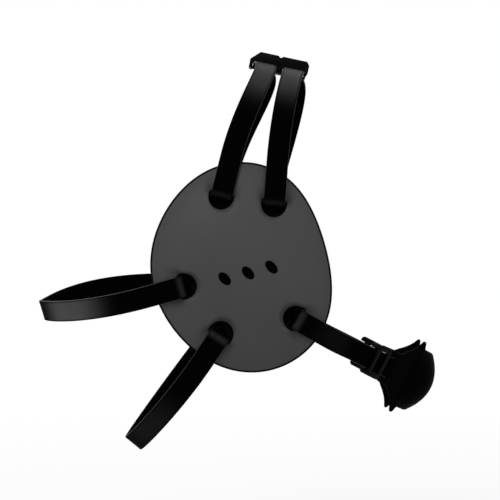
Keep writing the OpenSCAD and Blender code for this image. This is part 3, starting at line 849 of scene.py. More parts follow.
@dataclass
class EarCup:
    """One ear cup: domed shell, firm foam and soft cushion.

    The plan's rings lie at the fillets' distances round each opening and at the rim shares of the way out.
    """

    side: Side
    form: CupForm
    holes: SoundHoles

    fillets: tuple = (0.0, 0.1, 0.25, 0.45, 0.7, 1.1, 1.6, 2.3)
    rim_shares: tuple = (0.86, 0.89, 0.915, 0.937, 0.955, 0.97, 0.981, 0.989, 0.9945, 0.998)
    rim_count: int = 260
    hole_edge: float = 0.6
    lip: float = 0.4
    lip_in: float = 0.35
    ramp_rows: tuple = (-1.5, -1.1, -0.8, -0.5, -0.25, 0.0, 0.25, 0.5, 0.8, 1.2)
    ramp_run: float = 24.0
    ramp_pitch: float = 0.75
    inner_share: float = 0.85
    inner_pitch: float = 1.25
    keep_off: float = 0.6
    thinnest: float = 0.5
    plump: float = 0.58

    def name(self, piece: str) -> str:
        """The piece's name with its side in front."""
        return f"{self.side.name.lower()}_{piece}"

    def shell(self) -> Piece:
        """The domed shell: a plan of triangles round the holes, lifted to the carved dome and to its inside.

        Returns:
            The shell, with its painted shade attribute.
        """
        form, spokes, far = self.form, self._spokes(), 99.0
        edges = [[form.hole(slot.value, d) for d in self.fillets] for slot in Slots]
        edges += [[self.holes.outline(k, d) for d in self.fillets[:-1]] for k in self.holes.places]
        parts = [(form.mid + spokes, far)] + [(rings[0], 0.0) for rings in edges]
        loops = numbered([dots for dots, _ in parts])
        parts += [ring for rings in edges for ring in zip(rings[1:], self.fillets[1:])]
        parts += [(form.mid + spokes * share, far) for share in self.rim_shares]
        parts += [(self._inner_dots(), far)] + [(self._ramp_lines(slot.value), far) for slot in Slots]
        plan = np.concatenate([dots for dots, _ in parts])
        away = np.concatenate([np.full(len(dots), d) for dots, d in parts])
        high = np.maximum(form.carved(plan) - round_off(away, self.hole_edge), form.rim_w + self.lip)
        rim, n = loops[0], len(plan)
        high[rim] = form.rim_w + self.lip
        foot = form.mid + spokes * (1 - self.lip_in / form.radius(plan[rim]))[:, None]
        layers = ((plan, high), self._inside(plan), (foot, np.full(len(rim), form.rim_w)))
        points = np.concatenate([form.place(self.side, *layer) for layer in layers])
        tris = self._triangles(plan, loops)
        faces = [tris, tris[:, ::-1] + n, band(rim, rim + 2 * n), band(rim + 2 * n, rim + n)]
        faces += [band(ids, ids + n)[:, ::-1] for ids in loops[1:]]
        # painted shade, on the outer points only
        painted_ramp_shade = np.concatenate([form.painted_ramp_shade(plan), np.zeros(len(points) - n)])
        return closed_piece(self.name("cup_shell"), points, faces, marks={"painted_ramp_shade": painted_ramp_shade})

    def _spokes(self) -> Array:
        """Vectors from the cup's middle to evenly spread rim points."""
        return self.form.rim(np.arange(self.rim_count) * 360 / self.rim_count) - self.form.mid

    def _ramp_lines(self, slot: Slot) -> Array:
        """Rows of plan points along both borders of a ramp, from the opening to the rim rings.

        Args:
            slot: The ramp's slot.

        Returns:
            Plan points.
        """
        form, run = self.form, np.arange(0, self.ramp_run, self.ramp_pitch)
        rows = []
        for sign in (-1, 1):
            side, way = heading(slot.lean + sign * (90 + slot.fan)), heading(slot.lean + sign * slot.fan)
            out = form.slot_r + np.array(self.ramp_rows)
            rows.append(form.pivot(slot) + out[:, None, None] * side + run[:, None] * way)
        dots = np.concatenate(rows).reshape(-1, 2)
        past = form.local(slot, dots)[0] > form.slot_l + self.fillets[-1] + 0.5
        return dots[past & (form.share(dots) < self.inner_share)]

    def _inner_dots(self) -> Array:
        """A hexagonal grid of plan points that keeps off the rim rings, the holes' rings and the ramps' rows.

        Returns:
            Plan points.
        """
        form, pitch, off = self.form, self.inner_pitch, self.keep_off
        across, up = 60, 70
        i, j = np.meshgrid(np.arange(-across, across + 1), np.arange(-up, up + 1), indexing="ij")
        dots = np.stack([(i + 0.5 * (j % 2)) * pitch, j * pitch * math.sqrt(3) / 2], -1)
        dots = dots.reshape(-1, 2) + form.mid
        keep = (form.share(dots) < self.inner_share) & ~self.holes.near(dots, self.fillets[-2] + off)
        for slot in Slots:
            x, out = form.local(slot.value, dots)[0], form.cone(slot.value, dots)
            keep &= (out > self.fillets[-1] + off) | (x > form.slot_l + self.fillets[-1] + off)
            keep &= (out < self.ramp_rows[0] - off) | (out > self.ramp_rows[-1] + off) | (x < form.slot_l)
        return dots[keep]

    def _triangles(self, plan: Array, loops: list) -> Array:
        """Delaunay triangles that keep the loops' edges, without those inside a hole.

        Args:
            plan: Plan points.
            loops: Point numbers of the rim and of each opening's edge.

        Returns:
            Three point numbers for each triangle.
        """
        edges = [edge for ids in loops for edge in np.stack([ids, np.roll(ids, -1)], -1).tolist()]
        _, _, faces, origin, *_ = delaunay_2d_cdt([Vector(p) for p in plan.tolist()], edges, [], 0, 1e-7)
        tris = np.array([o[0] for o in origin])[np.array([f for f in faces if len(f) == 3])]
        loop_of = np.full(len(plan), -1)
        for k, ids in enumerate(loops):
            loop_of[ids] = k
        a, b, c = loop_of[tris].T
        return tris[(a < 0) | (a != b) | (b != c)]

    def _inside(self, plan: Array) -> tuple[Array, Array]:
        """The shell's inside: the same plan drawn in near the rim, on the inner dome.

        Args:
            plan: Plan points of the outside, with the rim first.

        Returns:
            Plan points of the inside and their heights.
        """
        form, start, span, late = self.form, 0.84, 0.16, 1.5
        pull = np.clip((form.share(plan) - start) / span, 0, 1) ** late * form.wall
        v = plan - form.mid
        low_plan = form.mid + v * (1 - pull / np.maximum(np.linalg.norm(v, axis=1), 1))[:, None]
        low = np.minimum(form.under(low_plan), form.carved(plan) - self.thinnest)
        low[:self.rim_count] = form.rim_w
        return low_plan, np.maximum(low, form.rim_w)

    def firm_foam(self) -> Piece:
        """The firm ring: a rounded rectangle carried round between the ear opening and the shell's edge.

        Returns:
            The ring.
        """
        form, edge, round_r, n = self.form, 0.02, 0.6, 18
        flat, corner = np.linspace(1 - edge, edge, n), np.radians(np.arange(15, 90, 15))
        across = np.concatenate([flat, edge * (1 - np.sin(corner))])
        high = np.concatenate([np.full(n, form.rim_w), form.rim_w - round_r * (1 - np.cos(corner))])
        low = form.soft_t + form.rim_w - high
        across = np.concatenate([across, across[::-1], 1 - across[n:], 1 - across[n:][::-1]])
        high = np.concatenate([high, low[::-1], low[n:], high[n:][::-1]])
        return self._ring("firm_foam_ring", across, high, form.foam_edge)

    def cushion(self) -> Piece:
        """The soft ring: a superellipse, whose cosine and sine are raised to a power that squares it.

        A seam near the firm foam draws the section in, by e to the power of minus (distance over width)
        squared.

        Returns:
            The cushion.
        """
        form, turn = self.form, np.radians(np.arange(2.5, 360, 5))
        seam_deep, seam_at, seam_wide, inset, ripple = 0.035, 2.6, 0.7, 1.5, 0.12
        high = form.soft_t * (0.5 + 0.5 * signed_power(np.sin(turn), self.plump))
        across = 0.5 + 0.5 * signed_power(np.cos(turn), self.plump)
        seam = seam_deep * np.exp(-((high - form.soft_t + seam_at) / seam_wide) ** 2)
        across = across + (0.5 - across) * 2 * seam
        return self._ring("ear_cushion_ring", across, high, form.foam_edge - inset, ripple)

    def shade_sheet(self) -> Piece:
        """A thin black sheet inside the shell behind the sound holes, which stands in for the shade inside
        the cup.

        A disc of rings stretched to an oval along the row of holes, lifted to just under the inner dome.

        Returns:
            The sheet.
        """
        form, holes, gap, deep = self.form, self.holes, 0.12, 0.7
        share = np.array([0.1, 0.2, 0.4, 0.6, 0.8, 0.94, 1.0])[:, None, None]
        oval = heading(np.linspace(0, 360, 72, endpoint=False)) * [holes.pitch + holes.cover, holes.cover]
        plan = share * (oval @ axes(holes.rise))[None]
        under = form.under(plan)
        faces = np.concatenate([under - gap, (under - deep)[::-1]])
        return tube(self.name("hole_shade_sheet"), form.place(self.side, np.concatenate([plan, plan[::-1]]), faces))

    def _ring(self, piece: str, across: Array, high: Array, edge: float, ripple: float = 0.0) -> Piece:
        """A section carried round the ear opening.

        Each point lies a share of the way from the opening's oval to the rim, at its own height. The ripple
        is a product of a sine round the ring and a sine round the section.

        Args:
            piece: The piece's name without its side.
            across: Shares of the way from the opening to the rim, round the section.
            high: Heights round the section.
            edge: How far the outer side lies outside the shell's rim.
            ripple: Height of the ripple.

        Returns:
            The ring.
        """
        form, around = self.form, np.linspace(0, 360, 240, endpoint=False)
        ring_waves, section_waves = 9, 3
        v = form.rim(around) - form.mid
        outer = form.mid + v * (1 + edge / np.linalg.norm(v, axis=1))[:, None]
        ear, across = (heading(around) * form.ear)[:, None], across[None, :, None]
        plan = ear * (1 - across) + outer[:, None] * across
        phase = np.arange(len(high)) * (2 * section_waves) * math.pi / len(high)
        wave = ripple * np.sin(np.radians(around * ring_waves))[:, None] * np.sin(phase)[None, :]
        deep = np.clip(high + wave, high.min(), high.max())
        deep = deep - self._relief(plan) * (deep > form.rim_w - 1)
        faces = grid_faces(len(around), len(high), loop_rows=True)
        return closed_piece(self.name(piece), form.place(self.side, plan, deep).reshape(-1, 3), [faces])

    def _relief(self, plan: Array) -> Array:
        """Shallow round hollows in the firm foam under the strap eyes.

        Args:
            plan: Plan points.

        Returns:
            Depth of the hollows at each point.
        """
        form, deep, room, fade = self.form, np.zeros(plan.shape[:-1]), 3, 2.5
        for slot in Slots:
            need = form.rim_w - (form.bar_w(slot.value) - form.eye_r - form.strap_t / 2 - form.gap)
            away = np.linalg.norm(plan - form.pivot(slot.value), axis=-1)
            deep = np.maximum(deep, max(0.0, need) * np.clip((form.bar_l / 2 + room - away) / fade, 0, 1))
        return deep


# Straps


# painted highlight where a strap leaves its slot: place, spread and strength
EXIT_SHEEN = (13.8, 1.9, 0.17)


def both_ends(*sheen_spots: tuple) -> tuple:
    """Each painted highlight spot, which lies a length from the start, and after it the same as far from the
    end.
    """
    return tuple((sign * place, spread, strength) for place, spread, strength in sheen_spots for sign in (1, -1))


@dataclass
class Route:
    """Centreline of a strap with its width direction at each point."""

    spots: Array
    widths: Array

    def __add__(self, other: "Route") -> "Route":
        """One route after another."""
        return Route(np.concatenate([self.spots, other.spots]), np.concatenate([self.widths, other.widths]))

    def backwards(self) -> "Route":
        """The same route the other way."""
        return Route(self.spots[::-1], self.widths[::-1])

    def even(self, pitch: float, soften: int = 2) -> "Route":
        """The route with its points spread evenly and its kinks eased.

        Args:
            pitch: Distance between neighbouring points.
            soften: Times that each point moves halfway to the mean of its neighbours.

        Returns:
            The new route, with the same ends.
        """
        runs = run_of(self.spots)
        fresh = np.linspace(0, runs[-1], int(runs[-1] / pitch) + 2)
        pair = [np.stack([np.interp(fresh, runs, rows[:, c]) for c in range(3)], -1)
                for rows in (self.spots, self.widths)]
        for _ in range(soften):
            for rows in pair:
                rows[1:-1] = 0.5 * rows[1:-1] + 0.25 * (rows[:-2] + rows[2:])
        return Route(pair[0], unit(pair[1]))

    def eased(self, reach: float, times: int, fade: float = 10.0) -> "Route":
        """The route with its bends spread out near the middle plane.

        Args:
            reach: Distance from the middle plane past which nothing moves.
            times: Times that each point moves halfway to the mean of its neighbours.
            fade: Distance over which the easing fades out.

        Returns:
            The new route.
        """
        spots = self.spots.copy()
        for _ in range(times):
            share = np.clip((reach - np.abs(spots[1:-1, 1:2])) / fade, 0, 1)
            spots[1:-1] += share * 0.25 * (spots[:-2] + spots[2:] - 2 * spots[1:-1])
        return Route(spots, self.widths)


@dataclass
class Webbing:
    """How a strap is woven: its section, which the routes carry along, and the painted highlight along its
    edges.
    """

    width: float = 13.0
    thick: float = 1.6
    edge_r: float = 0.62
    ridge: float = 0.10
    ridge_in: float = 0.5
    ridge_wide: float = 0.6
    # painted highlight: it fades in over the first width from each edge, and a painted line of the second
    # width and the given strength runs along each edge
    sheen_fade_width: float = 1.6
    sheen_line_width: float = 0.3
    sheen_line_strength: float = 0.5
    head_mid: tuple = (5.0, 0.0, 0.0)

    def section(self) -> Array:
        """The outline of the strap's section: flat in the middle, a ridge by each edge, then round.

        Returns:
            Place across the strap and height over its middle, for each point round the section.
        """
        flat, tips = self.width / 2 - self.edge_r, self.edge_r * np.array([0.45, 0.8, 0.97])
        across = np.concatenate([-flat - tips[::-1], np.linspace(-flat, flat, 13), flat + tips])
        over = np.clip((np.abs(across) - flat) / self.edge_r, 0, 1)
        half = (self.thick / 2 - self.ridge) * np.sqrt(1 - over ** 2)
        half += self.ridge * np.exp(-((np.abs(across) - flat + self.ridge_in) / self.ridge_wide) ** 2)
        return np.stack([np.concatenate([across, across[::-1]]), np.concatenate([half, -half[::-1]])], -1)

    def strap(self, name: str, route: Route, sheen_spots: tuple = ()) -> Piece:
        """Carries the section along a route, square to it.

        The map weave is length and breadth. The painted highlight attribute is the sum, over the highlight
        spots, of the strength times e to the power of minus (distance over spread) cubed, on the side that
        lies away from the head.

        Args:
            name: The piece's name.
            route: The strap's centreline.
            sheen_spots: Place as a length from the start, or from the end if it is below 0, spread and
                strength of each painted highlight.

        Returns:
            The strap.
        """
        p, cut = route.spots, self.section()
        t = unit(np.concatenate([p[1:2] - p[:1], p[2:] - p[:-2], p[-1:] - p[-2:-1]]))
        normal = unit(np.cross(t, route.widths))
        across = np.cross(normal, t)
        rings = p[:, None] + cut[None, :, :1] * across[:, None] + cut[None, :, 1:] * normal[:, None]
        run = run_of(p)
        weave = np.stack(np.broadcast_arrays(run[:, None], cut[None, :, 0]), -1)
        # painted highlights along the strap, on its outer face only, fading in from the edges
        shine = np.zeros(len(run))
        for spot, spread, strength in sheen_spots:
            away = run - (spot if spot >= 0 else run[-1] + spot)
            shine += strength * np.exp(-np.abs(away / spread) ** 3)
        outward = np.sign((normal * (p - np.array(self.head_mid))).sum(1))
        facing = np.clip(outward[:, None] * np.sign(cut[None, :, 1]), 0, 1)
        inside = self.width / 2 - np.abs(cut[:, 0])
        painted_sheen = np.clip(shine, 0, 1)[:, None] * facing * np.clip(inside / self.sheen_fade_width, 0, 1)
        # a painted highlight line along each edge
        painted_sheen = painted_sheen + self.sheen_line_strength * (inside < self.sheen_line_width)
        return tube(name, rings, weave, np.clip(painted_sheen, 0, 1))


@dataclass
class StrapRouter:
    """Works out each strap's way, as the CAD source does, in smaller steps."""

    form: CupForm
    eye_wrap: float = 285.0
    eye_step: float = 9.0

    def over_cup(self, side: Side, slot: Slot, veer: float) -> Route:
        """From the eye round the bar, up out of the slot and taut over the ramp to the foam's edge.

        Args:
            side: The cup.
            slot: The slot that the strap leaves by.
            veer: Turn of the strap from the slot's own direction, in degrees.

        Returns:
            The route, which starts with the eye.
        """
        form, a, stop = self.form, slot.lean + veer, 90 + self._rise(slot)
        turn = np.radians(np.arange(stop - self.eye_wrap, stop + 0.1, self.eye_step))
        runs = form.ramp_start + form.step * np.arange(self._count(slot) + 1)
        taut = self._taut(np.array([self._clear(slot, s) for s in runs]))
        fine = np.arange(runs[0], runs[-1] + 0.01, form.step / 5)
        along = np.concatenate([form.eye_r * np.cos(turn), fine])
        high = np.concatenate([form.bar_w(slot) + form.eye_r * np.sin(turn), np.interp(fine, runs, taut)])
        plan = form.pivot(slot) + along[:, None] * heading(a)
        width = [-math.sin(math.radians(a)), 0.0, math.cos(math.radians(a))]
        return Route(form.place(side, plan, high), np.tile(width, (len(along), 1)))

    def _rise(self, slot: Slot) -> float:
        """Angle at which the strap rises from its eye to the ramp."""
        a, h = self.form.ramp_start, self._clear(slot, self.form.ramp_start) - self.form.bar_w(slot)
        return math.degrees(math.atan2(h, a) - math.asin(self.form.eye_r / math.hypot(a, h)))

    def _clear(self, slot: Slot, along: float) -> float:
        """Lowest height of the strap's middle that clears ramp and dome over the whole fan.

        Args:
            slot: The slot.
            along: Distance from the slot's pivot.

        Returns:
            The height.
        """
        form = self.form
        q = form.turned(slot, along, form.strap_w / 2)
        return form.gap + form.strap_t / 2 + float(np.minimum(form.top(q), form.ramp_w(slot)).max())

    def _count(self, slot: Slot) -> int:
        """Steps until the strap is past the foam's edge over the whole fan, counted from four.

        Args:
            slot: The slot.

        Returns:
            The number of steps.
        """
        form, i = self.form, 4
        while True:
            q = form.turned(slot, form.ramp_start + i * form.step, form.strap_w / 2)
            over = np.linalg.norm(q - form.mid, axis=-1) - form.radius(q)
            if over.min() > form.foam_edge + form.gap:
                return i
            i += 1

    def _taut(self, slack: Array) -> Array:
        """A thread pulled tight over the heights: at each place, the highest chord between any two others.

        Args:
            slack: Heights at even steps.

        Returns:
            Heights of the thread.
        """
        i, j, k = np.meshgrid(*[np.arange(len(slack))] * 3, indexing="ij")
        share = np.where(k > j, (i - j) / np.maximum(k - j, 1), 0)
        chord = slack[j] * (1 - share) + slack[k] * share
        return np.where((j <= i) & (i <= k), chord, -np.inf).max((1, 2))

    def free(self, start: Route, goal: Array, way: Array, width: Array, reach: tuple,
             sway: float = 0.0) -> Route:
        """A smooth curve from a route's end to a goal, turning its width direction on the way.

        Args:
            start: The route that it goes on from.
            goal: Where it ends.
            way: The direction that it ends in.
            width: The width direction that it ends with.
            reach: Lengths of the curve's handles at its start and end.
            sway: How far the second handle is moved across the strap.

        Returns:
            The curve, without its first point.
        """
        p, t = start.spots[-1], unit(start.spots[-1] - start.spots[-6])
        goal, way, width = (np.asarray(v, float) for v in (goal, way, width))
        s = np.linspace(0, 1, 61)[1:]
        spots = bezier([p, p + reach[0] * t, goal - reach[1] * way + sway * width, goal], s)
        return Route(spots, start.widths[-1] * (1 - s[:, None]) + width * s[:, None])

    def half(self, side: Side, slot: Slots, veer: float, goal: Array, width: Array, reach: tuple,
             sway: float = 0.0) -> Route:
        """Half of a strap that runs from cup to cup, up to its middle."""
        start = self.over_cup(side, slot.value, veer)
        return start + self.free(start, goal, [0, -side.value, 0], width, reach, sway)


@dataclass(frozen=True)
class CrownRun:
    """One strap over the crown: its slot, its side of the adjuster, and its turns and sways by side."""

    node: str
    slot: Slots
    place: int
    veers: tuple
    sways: tuple


@dataclass
class CrownStraps:
    """The two straps over the crown and the adjuster that joins them."""

    router: StrapRouter
    webbing: Webbing
    middle: tuple = (20.7, 127.4)
    tilt: float = 12.0
    pitch: float = 19.5
    flat: float = 42.0
    adjuster_edge: float = 0.45
    reach: tuple = (40, 52)
    eased: tuple = (55.0, 80)
    # painted highlights at both slot exits and over the crown
    sheen_spots: tuple = both_ends(EXIT_SHEEN, (107.0, 19.0, 0.55))
    runs: tuple = (CrownRun("rear_top_strap", Slots.TOP_REAR, -1, veers=(-1, -4), sways=(-6, -12)),
                   CrownRun("front_top_strap", Slots.TOP_FRONT, 1, veers=(2, -8), sways=(2, -9)))

    def build(self, cloth: Skin, moulded: Skin) -> None:
        """Makes both straps, their bars and the adjuster.

        Args:
            cloth: Finish of the straps.
            moulded: Finish of the bars and the adjuster.
        """
        for run in self.runs:
            right, left = (self._half(side, run, veer, sway)
                           for side, veer, sway in zip(Side, run.veers, run.sways))
            route = (right + left.backwards()).even(STRAP_PITCH).eased(*self.eased)
            strap = self.webbing.strap(run.node + "_weave", route, self.sheen_spots)
            settle(strap, "cups", "webbing", cloth, run.node)
        moulding("top_strap_bars", "top_bars", BAR_EDGE, "cups", moulded)
        moulding("crown_adjuster", "adjuster_body", self.adjuster_edge, "crown_adjuster", moulded)

    def _half(self, side: Side, run: CrownRun, veer: float, sway: float) -> Route:
        """Half of a strap, straight near the crown.

        Args:
            side: The cup that it leaves.
            run: The strap.
            veer: Its turn at the slot, in degrees.
            sway: Its sway near the crown.

        Returns:
            The half, up to the adjuster.
        """
        tip = run.place * self.pitch / 2 * heading(-self.tilt)
        goal = [self.middle[0] + tip[0], side.value * self.flat / 2, self.middle[1] + tip[1]]
        width = -heading(-self.tilt)
        return self.router.half(side, run.slot, veer, goal, [width[0], 0, width[1]], self.reach, sway)


@dataclass
class RearLoop:
    """One strap from cup to cup behind the head, which swings as a whole about its bars."""

    name: str
    slot: Slots
    veers: tuple
    end: tuple
    end_lean: float
    reach: tuple
    sheen_spots: tuple

    def build(self, router: StrapRouter, webbing: Webbing, cloth: Skin, moulded: Skin) -> None:
        """Makes the strap and its bars.

        Args:
            router: Works out the strap's way.
            webbing: The strap's section.
            cloth: Finish of the strap.
            moulded: Finish of the bars.
        """
        width, (e, h) = heading(self.end_lean + 90), self.end
        right, left = (router.half(side, self.slot, veer, [e, 0, h], [width[0], 0, width[1]], reach)
                       for side, veer, reach in zip(Side, self.veers, self.reach))
        back = left.backwards()
        route = (right + Route(back.spots[1:], back.widths[1:])).even(STRAP_PITCH)
        strap, bars = self.name + "_strap", self.name + "_bars"
        settle(webbing.strap(strap + "_weave", route, self.sheen_spots), self.name, "webbing", cloth, strap)
        moulding(bars, bars + "_body", BAR_EDGE, self.name, moulded)


# Chin


@dataclass
class ChinForm:
    """Shape of the chin cup in a frame that slopes with its straps: e forward, y left, h square to both."""

    slope: float = 27.0
    front: float = 129.0
    under: float = 12.4
    bowl_depth: float = 8.8
    half: float = 20.0
    point: float = 24.5
    wing_half: float = 10.5
    span: float = 86.0
    back: float = 27.0
    angle: float = 48.0
    wall: float = 2.5
    liner_t: float = 4.0
    straight: float = 13.0
    bow: float = 14.0
    root_bow: float = 8.0
    ear_at: float = 23.5
    bowl_past: float = 6.0
    slot_at: float = 3.0
    slot_l: float = 4.2
    window_w: float = 13.8

    def __post_init__(self) -> None:
        """Works out the wing's curve and the distance from the front along it."""
        self.end = np.array([self.front - self.back, -self.span / 2])
        way = heading(self.angle)
        root = self.end + self.straight * way
        handles = [self.front, -self.bow], root + self.root_bow * way
        curve = bezier([[self.front, 0], *handles, root], np.linspace(0, 1, 161))
        self.curve = np.concatenate([curve, [self.end]])
        self.runs = run_of(self.curve)
        self.root_at, self.end_at = self.runs[-2], self.runs[-1]

    def place(self, spots: Array) -> Array:
        """Points of the chin's frame in the headgear's frame.

        Args:
            spots: Points of the chin's frame.

        Returns:
            The same points, turned by the slope.
        """
        a = math.radians(self.slope)
        e, h = spots[..., 0], spots[..., 2] - self.under
        cos, sin = math.cos(a), math.sin(a)
        return np.stack([e * cos + h * sin, spots[..., 1], h * cos - e * sin], -1)

    def height(self, d: Array) -> Array:
        """Half height: bowl, pointed ear and the wing's taper, through knots that a moving mean rounds.

        Args:
            d: Distances from the front.

        Returns:
            The half heights.
        """
        ear, half, point, wing, blur = self.ear_at, self.half, self.point, self.wing_half, 29
        knots = [(0, half), (19, half), (ear - 2.6, half + 0.25), (ear - 1.2, half + 2.2),
                 (ear - 0.25, point - 0.15), (ear + 0.35, point - 0.1), (ear + 2, point - 2.5),
                 (ear + 5, point - 5.7), (ear + 9, point - 8.8), (ear + 13, wing + 2.6),
                 (self.root_at, wing + 0.6), (self.end_at, wing)]
        fine = np.linspace(0, self.end_at, 2000)
        high = np.pad(np.interp(fine, *np.array(knots).T), blur // 2, mode="edge")
        return np.interp(d, fine, np.convolve(high, np.ones(blur) / blur, "valid"))

    def bulge(self, d: Array) -> Array:
        """How far the bowl's middle stands out: its depth times a cosine to the power 1.5."""
        turn = np.minimum(1, np.abs(d) / (self.ear_at + self.bowl_past)) * math.pi / 2
        return self.bowl_depth * np.maximum(np.cos(turn), 0) ** 1.5

    def along(self, d: Array) -> Array:
        """Plan points at distances from the front: to the right where d is over 0, to the left under it."""
        e, y = (np.interp(np.abs(d), self.runs, self.curve[:, c]) for c in (0, 1))
        return np.stack([e, y * np.sign(d)], -1)

    def spot(self, d: Array, h: Array, depth: Array) -> Array:
        """Points of the wall: the plan curve, moved along its own normal by the bulge less the depth.

        Args:
            d: Distance from the front along the wing, over 0 to the right.
            h: Height over the chin cup's middle.
            depth: Depth under the outer face.

        Returns:
            Points in the headgear's frame.
        """
        near = 1.5
        before, after = np.maximum(d - near, -self.end_at), np.minimum(d + near, self.end_at)
        t = unit(self.along(before) - self.along(after))
        s = h / self.height(np.abs(d))
        out = self.bulge(d) * np.maximum(0, 1 - s * s) - depth
        plan = self.along(d) + np.stack([t[..., 1], -t[..., 0]], -1) * out[..., None]
        return self.place(np.concatenate([plan, h[..., None]], -1))

    def wing_side(self, side: Side, back: float, off: float) -> Array:
        """A point beside the wing's middle plane.

        Args:
            side: The wing.
            back: Distance back from the wing's end.
            off: Distance outwards.

        Returns:
            The point in the headgear's frame.
        """
        way = np.array([math.cos(math.radians(self.angle)), -side.value * math.sin(math.radians(self.angle))])
        out = np.array([-way[1] * side.value, side.value * way[0]])
        q = np.array([self.end[0], side.value * self.span / 2]) - back * way + (off - self.wall / 2) * out
        return self.place(np.append(q, 0.0))


@dataclass
class ChinCup:
    """Moulded bowl with four pointed ears and two wings with strap windows, and its foam liner."""

    form: ChinForm
    wing_corner: float = 3.0
    edge_r: float = 0.9
    inner_rim: float = 3.2
    liner_gap: float = 0.3
    liner_corner: float = 6.0
    liner_edge_r: float = 1.5
    liner_reach: float = 19.0
    liner_share: float = 0.86
    thinned: float = 0.7

    def cup(self) -> Piece:
        """The bowl and wings as one wall with rounded edges and two windows, in a finer grid near each edge.

        Returns:
            The chin cup.
        """
        form, window = self.form, self.form.window_w / 2
        start, stop = form.end_at - form.slot_at - form.slot_l, form.end_at - form.slot_at
        ear_from, ear_to, fine, coarse, bar_step = 19, 29, 0.35, 1.0, 0.6
        edges = np.array([0, 0.08, 0.22, 0.42, 0.7, 1.0])
        half = np.concatenate([np.arange(0, ear_from, coarse), np.arange(ear_from, ear_to, fine),
                               np.arange(ear_to, start - 1.3, coarse), start - edges[::-1],
                               start + bar_step + np.arange(0, form.slot_l - 0.9, bar_step),
                               stop + edges, form.end_at - edges[::-1]])
        half = np.unique(np.round(half, 4))
        high = form.height(half) - round_off(form.end_at - half, self.wing_corner)
        inner = np.where(half > form.root_at - 4, window, high - self.inner_rim)
        rows = np.concatenate([np.linspace(0, 1, 14)[:, None] * (inner - edges[-1]),
                               inner - edges[-2:0:-1, None], inner[None], inner + edges[1:-1, None],
                               high - edges[::-1, None]])
        rows, holes = np.sort(rows, axis=0).T, (start, stop, window)
        return self._wall("chin_cup_shell", half, rows, high, 0.0, form.wall, self.edge_r, holes)

    def liner(self) -> Piece:
        """The foam pad inside the bowl, thinner towards its upper and lower edge.

        Returns:
            The liner.
        """
        form, reach = self.form, self.liner_reach
        margin, edges = 2.2, np.array([0, 0.1, 0.25, 0.5, 0.8, 1.2, 1.7])
        half = np.unique(np.round(np.concatenate([np.arange(0, reach - 2, 1.0), reach - edges]), 4))
        high = form.half * self.liner_share - round_off(reach - half, self.liner_corner)
        rows = np.concatenate([np.linspace(0, 1, 18)[:, None] * (high - margin), high - edges[::-1, None]]).T
        depth = form.wall + self.liner_gap
        return self._wall("chin_liner_pad", half, rows, high, depth, form.liner_t, self.liner_edge_r, None)

    def _wall(self, name: str, half: Array, rows: Array, high: Array, depth: float, thick: float,
              fillet: float, window: tuple | None) -> Piece:
        """A wall on the chin's surface: an outer and an inner grid, joined round the border and the windows.

        The edges are rounded: the depth of each face moves inwards near a border.

        Args:
            name: The piece's name.
            half: Distances from the front, of one half.
            rows: Heights over the middle for each distance, of the upper half.
            high: Half height at each distance.
            depth: Depth of the outer face.
            thick: Thickness of the wall.
            fillet: Radius of the rounded edges.
            window: Where the strap's window starts and stops, and its half height.

        Returns:
            The wall.
        """
        h = np.concatenate([-rows[:, :0:-1], rows], 1)
        h = np.concatenate([h[:0:-1], h])
        d = np.broadcast_to(np.concatenate([-half[:0:-1], half])[:, None], h.shape)
        top = np.concatenate([high[:0:-1], high])[:, None]
        far, tall, (n, m) = np.abs(d), np.abs(h), h.shape
        away = np.minimum(half[-1] - far, np.maximum(top - tall, 0))
        quads = grid_faces(n, m, loop_cols=False)
        if window:
            start, stop, half_w = window
            past, over = np.maximum(start - far, far - stop), tall - half_w
            out = np.where((past > 0) & (over > 0), np.hypot(past, over), np.maximum(past, over))
            away = np.minimum(away, np.maximum(out, 0))
            mid_d, mid_h = (np.abs(v[:-1, :-1] + v[1:, 1:]) / 2 for v in (d, h))
            quads = quads[~((mid_d > start) & (mid_d < stop) & (mid_h < half_w)).ravel()]
        turn_in = round_off(away, fillet)
        full = thick * (1 if window else 1 - self.thinned * (tall / self.form.half) ** 3)
        faces = [self.form.spot(d, h, deep) for deep in (depth + turn_in, depth + full - turn_in)]
        edges = np.concatenate([quads[:, [k, (k + 1) % 4]] for k in range(4)])
        codes = edges @ [n * m, 1]
        a, b = edges[~np.isin(codes, edges @ [1, n * m])].T
        rim = np.stack([b, a, a + n * m, b + n * m], -1)
        points = np.concatenate(faces).reshape(-1, 3)
        used = np.unique(np.concatenate([quads, quads + n * m, rim]))
        fresh = np.zeros(len(points), int)
        fresh[used] = np.arange(len(used))
        return closed_piece(name, points[used], [fresh[quads], fresh[quads[:, ::-1] + n * m], fresh[rim]])


